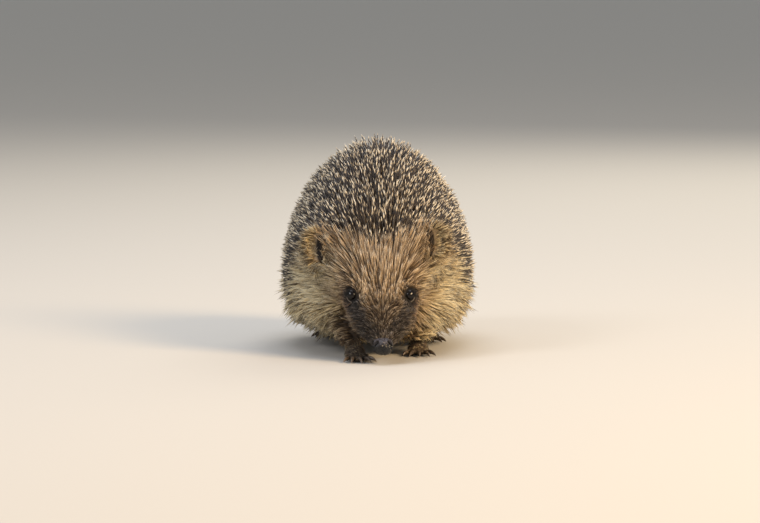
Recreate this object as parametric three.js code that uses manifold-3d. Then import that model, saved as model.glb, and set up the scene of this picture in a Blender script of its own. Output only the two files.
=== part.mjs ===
// European hedgehog, life-size, standing on all four feet with its nose lowered to the ground.
//
// Millimetres, +Z up. The nose points along -Y and the animal's left side is +X. The origin is on the floor,
// below the middle of the model. The solids of the body reach out to the tips of the spines and the fur.
//
// One form runs from the muzzle to the rump. Thin cuts part it into head, neck and trunk, and the ruff of the
// throat and chest is joined to the neck. The legs rise into pockets in the coat, and each foot carries five
// toes with a claw each.

import * as THREE from "three";
import { mergeVertices } from "three/addons/utils/BufferGeometryUtils.js";
import Module from "manifold-3d";

const wasm = await Module();
wasm.setup();

// ---- Driving dimensions, in millimetres and degrees ----

const GAP = 0.3; // clearance between neighbouring pieces

// Rings of the body from the muzzle to the rump. Each ring's middle is at x, y, z; lean is how far the ring
// faces down; half is its half-width; above and below are its reach over and under the middle; and full is
// how square its lower half is, with 2 for an ellipse.
const BODY_RINGS = [
  { name: "muzzle tip", x: 3.3, y: -98.0, z: 12.5, lean: 50, half: 8.0, above: 5.2, below: 5.6, full: 2.0 },
  { name: "lips", x: 3.1, y: -94.0, z: 17.0, lean: 50, half: 12.9, above: 7.4, below: 8.8, full: 2.1 },
  { name: "snout", x: 2.8, y: -88.5, z: 22.8, lean: 50, half: 18.2, above: 10.8, below: 12.8, full: 2.2 },
  { name: "cheeks", x: 2.3, y: -83.0, z: 29.0, lean: 50, half: 21.2, above: 13.6, below: 15.0, full: 2.2 },
  { name: "eyes", x: 1.9, y: -78.0, z: 35.0, lean: 48, half: 22.0, above: 16.5, below: 16.5, full: 2.2 },
  { name: "brow", x: 1.2, y: -69.5, z: 46.0, lean: 43, half: 29.0, above: 20.5, below: 23.0, full: 2.1 },
  { name: "ears", x: 0.3, y: -59.0, z: 54.5, lean: 36, half: 37.5, above: 25.0, below: 36.0, full: 2.1 },
  { name: "nape", x: 0.0, y: -45.0, z: 56.5, lean: 26, half: 46.5, above: 34.0, below: 45.0, full: 2.6 },
  { name: "shoulders", x: 0.0, y: -26.0, z: 53.0, lean: 13, half: 53.5, above: 49.5, below: 46.0, full: 3.5 },
  { name: "ribs", x: 0.0, y: -4.0, z: 48.0, lean: 4, half: 56.8, above: 67.5, below: 42.5, full: 4.1 },
  { name: "back", x: 0.0, y: 22.0, z: 46.0, lean: 0, half: 58.0, above: 78.0, below: 38.5, full: 3.9 },
  { name: "loins", x: 0.0, y: 50.0, z: 46.0, lean: -4, half: 56.0, above: 70.0, below: 37.0, full: 3.3 },
  { name: "hips", x: 0.0, y: 74.0, z: 47.0, lean: -10, half: 49.5, above: 54.0, below: 36.0, full: 2.7 },
  { name: "rump", x: 0.0, y: 92.0, z: 47.0, lean: -16, half: 38.0, above: 36.0, below: 31.0, full: 2.1 },
  { name: "rump end", x: 0.0, y: 104.5, z: 44.0, lean: -20, half: 27.0, above: 23.0, below: 23.0, full: 2.0 },
];
const BODY_SIDES = 28;
const BODY_STEPS = 27;
const EVENNESS = 0.4; // from 0, with rings crowded towards both ends, to 1, with rings evenly spread
const ROOF = 1.88; // squareness of the upper half of each ring
const MUZZLE_ROUND = 0.035; // share of the rings over which each end rounds off
const RUMP_ROUND = 0.16;

// Where the head ends and where the trunk begins, as shares of the way through the rings.
const HEAD_END = 6.5 / (BODY_RINGS.length - 1);
const TRUNK_START = 7.4 / (BODY_RINGS.length - 1);
const EYE_RING = 4 / (BODY_RINGS.length - 1);

const RUFF = { y: -41, z: 29.5, half: 49, long: 27, high: 24 };

const NOSE = { x: 3.3, y: -100.6, z: 10.8, half: 5.9, long: 5.0, high: 5.3, lean: 24 };
const NOSTRIL = { side: 4.9, forward: 2.8, up: 1.8, radius: 1.5 };

const EYE = { radius: 3.7, side: 17.1, up: 6.8 }; // set off from the middle of the eye ring

const EAR = { half: 7.3, thick: 3.6, high: 10.0, wall: 1.8 };
const EAR_PLACE = { x: -1.2, y: -62.5, z: 66.0, side: 34.3, rise: 1.6 }; // the left ear is higher by twice rise
const EAR_TURN = { flare: 16, back: -12, tilt: 8 };

const TAIL = { root: [0, 84, 25], middle: [0, 93, 18], tip: [0, 101, 11.5], rootRadius: 5.0, tipRadius: 2.2 };

// Each foot stands where its sole's middle is, with the toes turned towards the left by turn degrees. Its leg
// runs from its top in the body, through its bend at the elbow or heel, to the foot.
const FORE = { leg: 7.6, wrist: 5.2, palmHalf: 6.3, palmLong: 7.4, palmHigh: 5.4, toe: 9.8, claw: 6.2 };
const HIND = { leg: 10.5, wrist: 6.4, palmHalf: 6.8, palmLong: 13.0, palmHigh: 6.0, toe: 8.6, claw: 5.4 };
const FEET = [
  { name: "fore_right", kind: FORE, x: -13, y: -79, turn: 12, top: [-20, -50, 36], bend: [-19, -60, 22] },
  { name: "fore_left", kind: FORE, x: 24, y: -46, turn: 2, top: [26, -28, 36], bend: [27, -36, 20] },
  { name: "hind_right", kind: HIND, x: -28, y: 60, turn: -14, top: [-29, 52, 40], bend: [-33, 62, 24] },
  { name: "hind_left", kind: HIND, x: 29, y: 32, turn: 14, top: [30, 38, 40], bend: [34, 38, 24] },
];
const TOES = [
  // spread is the toe's angle from the middle toe, and reach is its length as a share of the longest toe's
  { spread: -37, reach: 0.66 },
  { spread: -18, reach: 0.92 },
  { spread: 0, reach: 1.0 },
  { spread: 18, reach: 0.92 },
  { spread: 37, reach: 0.66 },
];
const TOE_RADIUS = 1.9;
const CLAW_RADIUS = 1.0;

const BIG = 600; // larger than the animal, for cutting boxes

// ---- Colours ----

const finish = (name, color, roughness, metalness = 0) =>
  new THREE.MeshStandardMaterial({ name, color, roughness, metalness });
const SPINES = finish("spines", "#6d6052", 0.55);
const FUR = finish("fur", "#8a7556", 0.8);
const SKIN = finish("skin", "#4a423a", 0.7);
const NOSE_LEATHER = finish("nose leather", "#2a2524", 0.3);
const EYEBALL = finish("eye", "#0b0908", 0.08);
const CLAW_HORN = finish("claw horn", "#4d4136", 0.45);

// ---- Solids ----

/** The closed surface of a geometry, as a solid that can be joined and cut. */
function solidFrom(geometry) {
  const bare = geometry.index ? geometry.toNonIndexed() : geometry.clone();
  bare.deleteAttribute("normal");
  bare.deleteAttribute("uv");
  const merged = mergeVertices(bare, 1e-4);
  const mesh = new wasm.Mesh({
    numProp: 3,
    vertProperties: merged.attributes.position.array,
    triVerts: new Uint32Array(merged.index.array),
  });
  return new wasm.Manifold(mesh);
}

/** A solid as a geometry that three.js draws. */
function geometryFrom(solid) {
  const { vertProperties, triVerts } = solid.getMesh();
  const geometry = new THREE.BufferGeometry();
  geometry.setAttribute("position", new THREE.BufferAttribute(vertProperties, 3));
  geometry.setIndex(new THREE.BufferAttribute(triVerts, 1));
  geometry.computeVertexNormals();
  return geometry;
}

/** A geometry of rings of points, closed at a point before the first ring and after the last. */
function closedRings(rings, firstPole, lastPole) {
  const sides = rings[0].length;
  const points = [firstPole, ...rings.flat(), lastPole];
  const last = points.length - 1;
  const at = (ring, side) => 1 + ring * sides + (side % sides);
  const faces = [];
  for (let side = 0; side < sides; side += 1) {
    faces.push(0, at(0, side), at(0, side + 1));
    faces.push(last, at(rings.length - 1, side + 1), at(rings.length - 1, side));
    for (let ring = 0; ring + 1 < rings.length; ring += 1) {
      faces.push(at(ring, side), at(ring + 1, side), at(ring, side + 1));
      faces.push(at(ring, side + 1), at(ring + 1, side), at(ring + 1, side + 1));
    }
  }
  const geometry = new THREE.BufferGeometry().setFromPoints(points);
  geometry.setIndex(faces);
  return geometry;
}

const radians = THREE.MathUtils.degToRad;
const vector = (x, y, z) => new THREE.Vector3(x, y, z);

/** The size of a rounded end, from 0 at the end itself to 1 at the distance where the rounding stops. */
const roundedEnd = (distance, rounding) => {
  const share = Math.min(distance / rounding, 1);
  return Math.sqrt(share * (2 - share));
};

// ---- The body from muzzle to rump ----

const ringCurve = (x, y, z) =>
  new THREE.CatmullRomCurve3(
    BODY_RINGS.map((ring) => vector(ring[x] ?? 0, ring[y] ?? 0, ring[z] ?? 0)),
    false,
    "catmullrom",
  );
const middles = ringCurve("x", "y", "z");
const reaches = ringCurve("half", "above", "below");
const shapes = ringCurve("lean", "full");

/** The ring at a share of the way from muzzle to rump: its middle, directions and sizes. */
function bodyRing(share) {
  const [half, above, below] = reaches.getPoint(share);
  const [leanDegrees, full] = shapes.getPoint(share);
  const lean = radians(leanDegrees);
  return {
    middle: middles.getPoint(share),
    forward: vector(0, -Math.cos(lean), -Math.sin(lean)),
    up: vector(0, -Math.sin(lean), Math.cos(lean)),
    half,
    above,
    below,
    full,
  };
}

/** One coordinate of a superellipse: the sine or cosine, drawn out towards the corners. */
const drawnOut = (value, full) => Math.sign(value) * Math.abs(value) ** (2 / full);

/** The whole body, with its surface moved out by grow. */
function bodySolid(grow) {
  const rings = [];
  for (let step = 1; step < BODY_STEPS; step += 1) {
    const even = step / BODY_STEPS;
    const share = THREE.MathUtils.lerp((1 - Math.cos(Math.PI * even)) / 2, even, EVENNESS);
    const ring = bodyRing(share);
    const size = roundedEnd(share, MUZZLE_ROUND) * roundedEnd(1 - share, RUMP_ROUND);
    const points = [];
    for (let side = 0; side < BODY_SIDES; side += 1) {
      const angle = (2 * Math.PI * side) / BODY_SIDES;
      const over = Math.sin(angle) > 0;
      const full = over ? ROOF : ring.full;
      const across = drawnOut(Math.cos(angle), full) * (ring.half * size + grow);
      const upward = drawnOut(Math.sin(angle), full) * ((over ? ring.above : ring.below) * size + grow);
      points.push(ring.middle.clone().add(vector(across, 0, 0)).addScaledVector(ring.up, upward));
    }
    rings.push(points);
  }
  const first = bodyRing(0);
  const last = bodyRing(1);
  return solidFrom(
    closedRings(
      rings,
      first.middle.clone().addScaledVector(first.forward, grow),
      last.middle.clone().addScaledVector(last.forward, -grow),
    ),
  );
}

/** Everything behind the ring at a share of the body's length, moved back by shift. */
function behindRing(share, shift) {
  const { middle, forward } = bodyRing(share);
  const box = new THREE.BoxGeometry(BIG, BIG, BIG);
  box.translate(0, BIG / 2, 0);
  box.applyQuaternion(new THREE.Quaternion().setFromUnitVectors(vector(0, -1, 0), forward));
  const corner = middle.clone().addScaledVector(forward, -shift);
  box.translate(corner.x, corner.y, corner.z);
  return solidFrom(box);
}

// ---- Rounded forms ----

/** An ellipsoid round a point, with its half-sizes along x, y and z, turned about x by lean degrees. */
function ellipsoid([x, y, z], [half, long, high], lean = 0, across = 16, down = 10) {
  const sphere = new THREE.SphereGeometry(1, across, down);
  sphere.scale(half, long, high);
  sphere.rotateX(radians(lean));
  sphere.translate(x, y, z);
  return sphere;
}

/** A limb along a smooth curve through points, with a radius at each point and round ends. */
function limb(points, radii, { sides = 10, steps = 7, grow = 0 } = {}) {
  const curve = new THREE.CatmullRomCurve3(points);
  const sizes = new THREE.CatmullRomCurve3(radii.map((radius) => vector(radius, 0, 0)));
  const length = curve.getLength();
  const chord = points[points.length - 1].clone().sub(points[0]).normalize();
  const upright = Math.abs(chord.z) > 0.8 ? vector(0, 1, 0) : vector(0, 0, 1);
  const rings = [];
  for (let step = 1; step < steps; step += 1) {
    const share = (1 - Math.cos((Math.PI * step) / steps)) / 2;
    const along = curve.getTangent(share);
    const side = along.clone().cross(upright).normalize();
    const up = side.clone().cross(along);
    const bare = sizes.getPoint(share).x;
    const size = bare * roundedEnd(Math.min(share, 1 - share) * length, bare) + grow;
    rings.push(
      Array.from({ length: sides }, (_, i) => {
        const angle = (2 * Math.PI * i) / sides;
        return curve
          .getPoint(share)
          .addScaledVector(side, size * Math.cos(angle))
          .addScaledVector(up, size * Math.sin(angle));
      }),
    );
  }
  const start = points[0].clone().addScaledVector(curve.getTangent(0), -grow);
  const end = points[points.length - 1].clone().addScaledVector(curve.getTangent(1), grow);
  return closedRings(rings, start, end);
}

// ---- Nose, eyes and ears ----

/** The leathery pad at the tip of the muzzle, before its nostrils are cut. */
const nosePad = solidFrom(
  ellipsoid([NOSE.x, NOSE.y, NOSE.z], [NOSE.half, NOSE.long, NOSE.high], NOSE.lean, 14, 9),
);

/** The nose, resting against the muzzle, with a nostril on each side. */
function noseSolid(muzzle) {
  let nose = nosePad.subtract(muzzle);
  for (const side of [-1, 1]) {
    const centre = [NOSE.x + side * NOSTRIL.side, NOSE.y - NOSTRIL.forward, NOSE.z + NOSTRIL.up];
    const radii = [NOSTRIL.radius, NOSTRIL.radius * 1.4, NOSTRIL.radius];
    nose = nose.subtract(solidFrom(ellipsoid(centre, radii, 0, 8, 6)));
  }
  return nose;
}

/** An eyeball on the side given by its sign, with its surface moved out by grow. */
function eyeSolid(side, grow) {
  const { middle, up } = bodyRing(EYE_RING);
  const { x, y, z } = middle.add(vector(side * EYE.side, 0, 0)).addScaledVector(up, EYE.up);
  const radius = EYE.radius + grow;
  return solidFrom(ellipsoid([x, y, z], [radius, radius, radius], 0, 12, 8));
}

/** Turns and places a form made round an ear's own middle, with its hollow facing -Y. */
function placeEar(geometry, side) {
  geometry.rotateY(radians(side * EAR_TURN.tilt));
  geometry.rotateX(radians(EAR_TURN.back));
  geometry.rotateZ(radians(side * EAR_TURN.flare));
  const { x, y, z, side: out, rise } = EAR_PLACE;
  geometry.translate(x + side * out, y, z + side * rise);
  return solidFrom(geometry);
}

/** The room that an ear fills, with its surface moved out by grow. */
const earBlank = (side, grow) =>
  placeEar(ellipsoid([0, 0, 0], [EAR.half + grow, EAR.thick + grow, EAR.high + grow], 0, 12, 8), side);

/** A rounded ear, cupped forwards. */
function earSolid(side) {
  const half = EAR.half - EAR.wall;
  const high = EAR.high - EAR.wall;
  const middle = [0, -EAR.wall * 1.6, EAR.wall * 0.4];
  const hollow = placeEar(ellipsoid(middle, [half, EAR.thick, high], 0, 12, 8), side);
  return earBlank(side, 0).subtract(hollow);
}

// ---- Legs, feet and claws ----

/** A leg from inside the coat down to the foot, with its surface moved out by grow. */
function legSolid({ x, y, kind, top, bend }, grow) {
  const wrist = vector(x, y + kind.palmLong * 0.3, kind.palmHigh * 1.2);
  const points = [vector(...top), vector(...bend), wrist];
  const radii = [kind.leg, kind.leg, kind.wrist];
  return solidFrom(limb(points, radii, { sides: 12, steps: 6, grow }));
}

/** Turns a form made round a foot's own middle, toes towards -Y, to where the foot stands. */
function placeOnFoot(geometry, foot) {
  geometry.rotateZ(radians(foot.turn));
  geometry.translate(foot.x, foot.y, 0);
  return solidFrom(geometry);
}

/** The points along a toe, in the foot's own frame, from the palm to its tip. */
function toeLine({ kind }, { spread, reach }) {
  const angle = radians(spread);
  const away = vector(Math.sin(angle), -Math.cos(angle), 0);
  const start = vector(Math.sin(angle) * kind.palmHalf * 0.7, -kind.palmLong * 0.55, 0);
  const length = kind.toe * reach;
  const at = (share, height) => start.clone().addScaledVector(away, length * share).setZ(height);
  return { away, points: [at(0, 3.6), at(0.55, 3.3), at(1, TOE_RADIUS * 0.85)] };
}

/** A palm or heel with five toes, cut flat where it stands, with its surface moved out by grow. */
function footSolid(foot, grow) {
  const { palmHalf, palmLong, palmHigh } = foot.kind;
  const palm = ellipsoid(
    [0, 0, palmHigh * 0.72],
    [palmHalf + grow, palmLong + grow, palmHigh + grow],
    0,
    12,
    7,
  );
  let solid = placeOnFoot(palm, foot);
  for (const toe of TOES) {
    const { points } = toeLine(foot, toe);
    const radii = [TOE_RADIUS * 1.1, TOE_RADIUS * 1.05, TOE_RADIUS];
    solid = solid.add(placeOnFoot(limb(points, radii, { sides: 6, steps: 4, grow }), foot));
  }
  const floor = solidFrom(new THREE.BoxGeometry(BIG, BIG, BIG).translate(0, 0, -BIG / 2));
  return solid.subtract(floor);
}

/** One claw, curving down from the tip of its toe. */
function clawSolid(foot, toe) {
  const { away, points } = toeLine(foot, toe);
  const root = points[points.length - 1];
  const length = foot.kind.claw * (0.7 + 0.3 * toe.reach);
  const at = (share, height) => root.clone().addScaledVector(away, length * share).setZ(height);
  const line = [at(-0.1, 2.3), at(0.55, 2.0), at(1, 0.5)];
  const radii = [CLAW_RADIUS, CLAW_RADIUS * 0.8, CLAW_RADIUS * 0.25];
  return placeOnFoot(limb(line, radii, { sides: 5, steps: 4 }), foot);
}

// ---- The animal ----

/** The animal's pieces, as a list of node name, solid and finish. */
function animalPieces() {
  const whole = bodySolid(0);
  const grown = bodySolid(GAP);
  const behindHead = behindRing(HEAD_END, GAP);
  const pieces = [];

  const ruff = solidFrom(ellipsoid([0, RUFF.y, RUFF.z], [RUFF.half, RUFF.long, RUFF.high], 0, 24, 14))
    .subtract(grown.subtract(behindHead))
    .subtract(behindRing(TRUNK_START, 0));
  let head = whole.subtract(behindRing(HEAD_END, 0));
  let neck = whole.intersect(behindHead).subtract(behindRing(TRUNK_START, 0)).add(ruff);
  let trunk = whole.intersect(behindRing(TRUNK_START, GAP));

  for (const side of [-1, 1]) {
    const word = side > 0 ? "left" : "right";
    head = head.subtract(eyeSolid(side, GAP)).subtract(earBlank(side, GAP));
    neck = neck.subtract(earBlank(side, GAP));
    pieces.push([`eye_${word}`, eyeSolid(side, 0), EYEBALL], [`ear_${word}`, earSolid(side), SKIN]);
  }

  for (const foot of FEET) {
    const sole = footSolid(foot, 0);
    const soleRoom = footSolid(foot, GAP);
    const legRoom = legSolid(foot, GAP);
    const leg = legSolid(foot, 0).subtract(soleRoom);
    [head, neck, trunk] = [head, neck, trunk].map((part) => part.subtract(legRoom).subtract(soleRoom));
    pieces.push([`leg_${foot.name}`, leg, FUR], [`foot_${foot.name}`, sole, SKIN]);
    TOES.forEach((toe, i) => {
      pieces.push([`claw_${foot.name}_${i + 1}`, clawSolid(foot, toe).subtract(soleRoom), CLAW_HORN]);
    });
  }

  const tailPoints = [TAIL.root, TAIL.middle, TAIL.tip].map((point) => vector(...point));
  const tailRadii = [TAIL.rootRadius, (TAIL.rootRadius + TAIL.tipRadius) / 2, TAIL.tipRadius];
  const tail = solidFrom(limb(tailPoints, tailRadii));
  trunk = trunk.subtract(solidFrom(limb(tailPoints, tailRadii, { grow: GAP })));

  pieces.push(
    ["head", head, FUR],
    ["neck", neck, FUR],
    ["trunk", trunk, SPINES],
    ["tail", tail, FUR],
    ["nose", noseSolid(grown), NOSE_LEATHER],
  );
  return pieces;
}

/** A group of named meshes standing on the floor, with the origin below the middle of them all. */
function assemble(pieces) {
  const group = new THREE.Group();
  for (const [name, solid, material] of pieces) {
    const mesh = new THREE.Mesh(geometryFrom(solid), material);
    mesh.name = name;
    group.add(mesh);
  }
  const middle = new THREE.Box3().setFromObject(group).getCenter(vector(0, 0, 0));
  for (const mesh of group.children) mesh.position.set(-middle.x, -middle.y, 0);
  return group;
}

export default assemble(animalPieces());
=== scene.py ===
"""A life-size European hedgehog, standing on all four feet with its nose lowered to the ground.

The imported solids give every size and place. One skin is drawn over the flesh and sunk below the solids by the
depth of the coat. Quills and hair grow out of the skin as far as the solids' outline. The eyes, the nose pad
and the claws are pieces of their own.
"""

from __future__ import annotations

import sys

import logging
import math
from dataclasses import dataclass, field
from enum import Enum

import bmesh
import bpy
import numpy as np
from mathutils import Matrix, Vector
from mathutils.bvhtree import BVHTree

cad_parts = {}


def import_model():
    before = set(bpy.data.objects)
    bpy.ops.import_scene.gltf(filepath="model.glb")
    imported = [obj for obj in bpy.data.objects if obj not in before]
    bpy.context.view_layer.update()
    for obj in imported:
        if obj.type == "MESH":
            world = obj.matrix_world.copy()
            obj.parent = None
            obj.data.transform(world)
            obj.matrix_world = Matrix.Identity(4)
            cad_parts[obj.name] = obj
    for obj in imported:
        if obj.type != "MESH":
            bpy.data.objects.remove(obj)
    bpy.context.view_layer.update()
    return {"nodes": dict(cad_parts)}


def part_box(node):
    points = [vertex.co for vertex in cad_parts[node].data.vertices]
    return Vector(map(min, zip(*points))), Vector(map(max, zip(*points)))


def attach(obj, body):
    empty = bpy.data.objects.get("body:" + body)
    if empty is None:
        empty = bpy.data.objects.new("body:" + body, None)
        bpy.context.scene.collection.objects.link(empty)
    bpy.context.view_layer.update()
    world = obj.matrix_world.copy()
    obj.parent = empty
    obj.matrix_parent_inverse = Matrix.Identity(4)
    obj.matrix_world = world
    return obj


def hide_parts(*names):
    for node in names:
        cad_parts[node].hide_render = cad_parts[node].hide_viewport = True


log = logging.getLogger("hedgehog")

MM = 0.001
IMAGE_WIDTH = 760
FEET = ("fore_right", "fore_left", "hind_right", "hind_left")
FLESH = (
    ("head", "neck", "trunk", "tail", "ear_left", "ear_right")
    + tuple(f"leg_{foot}" for foot in FEET)
    + tuple(f"foot_{foot}" for foot in FEET)
)
Array = np.ndarray


class Side(Enum):
    """The animal's right and left, as signs along X."""

    RIGHT = -1
    LEFT = 1

    @property
    def word(self) -> str:
        """The side's name, as the solids' names end."""
        return self.name.lower()


class Coat(Enum):
    """The kinds of hair on the body, each with a length, a lie and markings of its own."""

    FOREHEAD = "forehead"
    MUZZLE = "muzzle"
    CHEEK = "cheek"
    SKIRT = "skirt"
    BELLY = "belly"
    LEG = "leg"
    FOOT = "foot"
    EAR = "ear"


def kind_of(name: str) -> str:
    """The kind of part that a solid is, as its name begins."""
    return name.split("_")[0]


# ---- Arithmetic ----


def rise(low: float, high: float, value: Array) -> Array:
    """A smooth step from 0 at low to 1 at high.

    Args:
        low: Where the step starts.
        high: Where it ends.
        value: The values to place on it.

    Returns:
        The height of the step at each value.
    """
    share = np.clip((value - low) / (high - low), 0.0, 1.0)
    return share * share * (3.0 - 2.0 * share)


def unit(vectors: Array) -> Array:
    """The vectors at length one."""
    return vectors / np.maximum(np.linalg.norm(vectors, axis=-1, keepdims=True), 1e-12)


def along_surface(vectors: Array, normals: Array) -> Array:
    """The vectors laid flat on a surface, at length one."""
    flat = vectors - normals * np.sum(vectors * normals, axis=-1, keepdims=True)
    return unit(flat)


def mix(first: Array, second: Array, share: Array) -> Array:
    """A blend of two sets of vectors, with one share for each."""
    return first * (1.0 - share[:, None]) + second * share[:, None]


def distance(p: Array, spot: Array) -> Array:
    """How far each point is from a spot."""
    return np.linalg.norm(p - spot, axis=1)


def nearby(p: Array, spot: Array, edge: float, core: float) -> Array:
    """How near each point is to a spot, from 0 at the edge's distance to 1 at the core's."""
    return rise(edge, core, distance(p, spot))


def bell(value: Array, middle: float, spread: float) -> Array:
    """A smooth hump of height 1 over its middle."""
    return np.exp(-(((value - middle) / spread) ** 2))


def linear(code: str) -> tuple[float, float, float, float]:
    """An sRGB hex colour as linear light.

    Args:
        code: A colour such as "#a58a63".

    Returns:
        Red, green, blue and an alpha of one.
    """
    parts = [int(code[i : i + 2], 16) / 255.0 for i in (1, 3, 5)]
    light = [p / 12.92 if p <= 0.04045 else ((p + 0.055) / 1.055) ** 2.4 for p in parts]
    return (light[0], light[1], light[2], 1.0)


# ---- Blender's objects ----


def deselect() -> None:
    """Leaves nothing selected."""
    for item in list(bpy.context.selected_objects):
        item.select_set(False)


def choose(item: bpy.types.Object) -> None:
    """Makes an object the only selected one, and the active one.

    Args:
        item: The object.
    """
    deselect()
    item.select_set(True)
    bpy.context.view_layer.objects.active = item


def rename(item: bpy.types.Object, name: str) -> bpy.types.Object:
    """Names an object and its mesh alike.

    Args:
        item: The object.
        name: Its new name.

    Returns:
        The same object.
    """
    item.name = name
    item.data.name = name
    return item


def apply_modifier(item: bpy.types.Object, kind: str, **settings: object) -> None:
    """Adds a modifier to an object and applies it.

    Args:
        item: The object.
        kind: Blender's name for the kind of modifier.
        settings: The modifier's settings by name.
    """
    choose(item)
    modifier = item.modifiers.new(kind.lower(), kind)
    for key, value in settings.items():
        setattr(modifier, key, value)
    bpy.ops.object.modifier_apply(modifier=modifier.name)


def join(items: list[bpy.types.Object], name: str) -> bpy.types.Object:
    """Joins objects into one.

    Args:
        items: The objects, of which the first is kept.
        name: The joined object's name.

    Returns:
        The joined object.
    """
    choose(items[0])
    for item in items[1:]:
        item.select_set(True)
    bpy.ops.object.join()
    return rename(items[0], name)


def read(items: bpy.types.bpy_prop_collection, key: str, width: int, kind: type = np.int32) -> Array:
    """Reads one property of many items at once.

    Args:
        items: A mesh's vertices, edges, loops or the like.
        key: The property's name.
        width: How many numbers each item has.
        kind: The numbers' type.

    Returns:
        One row for each item, or a plain row of numbers where the width is one.
    """
    flat = np.empty(len(items) * width, dtype=kind)
    items.foreach_get(key, flat)
    return flat.reshape(-1, width) if width > 1 else flat


def places(mesh: bpy.types.Mesh) -> Array:
    """The mesh's vertices in millimetres."""
    return read(mesh.vertices, "co", 3, np.float32).astype(np.float64) / MM


def put_places(mesh: bpy.types.Mesh, points: Array) -> None:
    """Moves the mesh's vertices to points in millimetres."""
    mesh.vertices.foreach_set("co", (points * MM).astype(np.float32).ravel())
    mesh.update()


def facings(mesh: bpy.types.Mesh) -> Array:
    """The mesh's smooth normal at each vertex."""
    return read(mesh.vertex_normals, "vector", 3, np.float32).astype(np.float64)


def edge_ends(mesh: bpy.types.Mesh) -> Array:
    """The two vertices of each of the mesh's edges."""
    return read(mesh.edges, "vertices", 2)


def spread(values: Array, ends: Array, rounds: int) -> Array:
    """Evens out values over a mesh, by averaging each with its neighbours' some rounds over.

    Args:
        values: One value for each vertex.
        ends: The two vertices of each edge.
        rounds: How many times to average.

    Returns:
        The evened values.
    """
    count = np.bincount(ends.ravel(), minlength=len(values)).astype(np.float64)
    for _ in range(rounds):
        total = np.bincount(ends[:, 0], values[ends[:, 1]], len(values))
        total += np.bincount(ends[:, 1], values[ends[:, 0]], len(values))
        values = 0.5 * values + 0.5 * total / np.maximum(count, 1.0)
    return values


def mark(mesh: bpy.types.Mesh, name: str, values: Array) -> None:
    """Stores one number for each vertex on the mesh, for the materials to read."""
    layer = mesh.attributes.new(name, "FLOAT", "POINT")
    layer.data.foreach_set("value", np.ascontiguousarray(values, dtype=np.float32).ravel())


def node_box(node: str) -> tuple[Array, Array]:
    """A solid's lowest and highest corners, in millimetres."""
    low, high = (np.array(corner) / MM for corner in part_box(node))
    return low, high


def node_middle(node: str) -> Array:
    """The middle of a solid's box, in millimetres."""
    low, high = node_box(node)
    return (low + high) / 2.0


def finish_piece(item: bpy.types.Object, material: bpy.types.Material, slot: str, *nodes: str) -> None:
    """Gives a finished object its material and its place in the model, and reports it.

    Args:
        item: The object.
        material: Its material.
        slot: Not used.
        nodes: The solids that it stands for.
    """
    mesh = item.data
    mesh.materials.clear()
    mesh.materials.append(material)
    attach(item, "root")
    if nodes:
        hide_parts(*nodes)
    mesh.calc_loop_triangles()
    log.info("%s: %d vertices, %d triangles", item.name, len(mesh.vertices), len(mesh.loop_triangles))


# ---- The animal's plan ----


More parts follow.
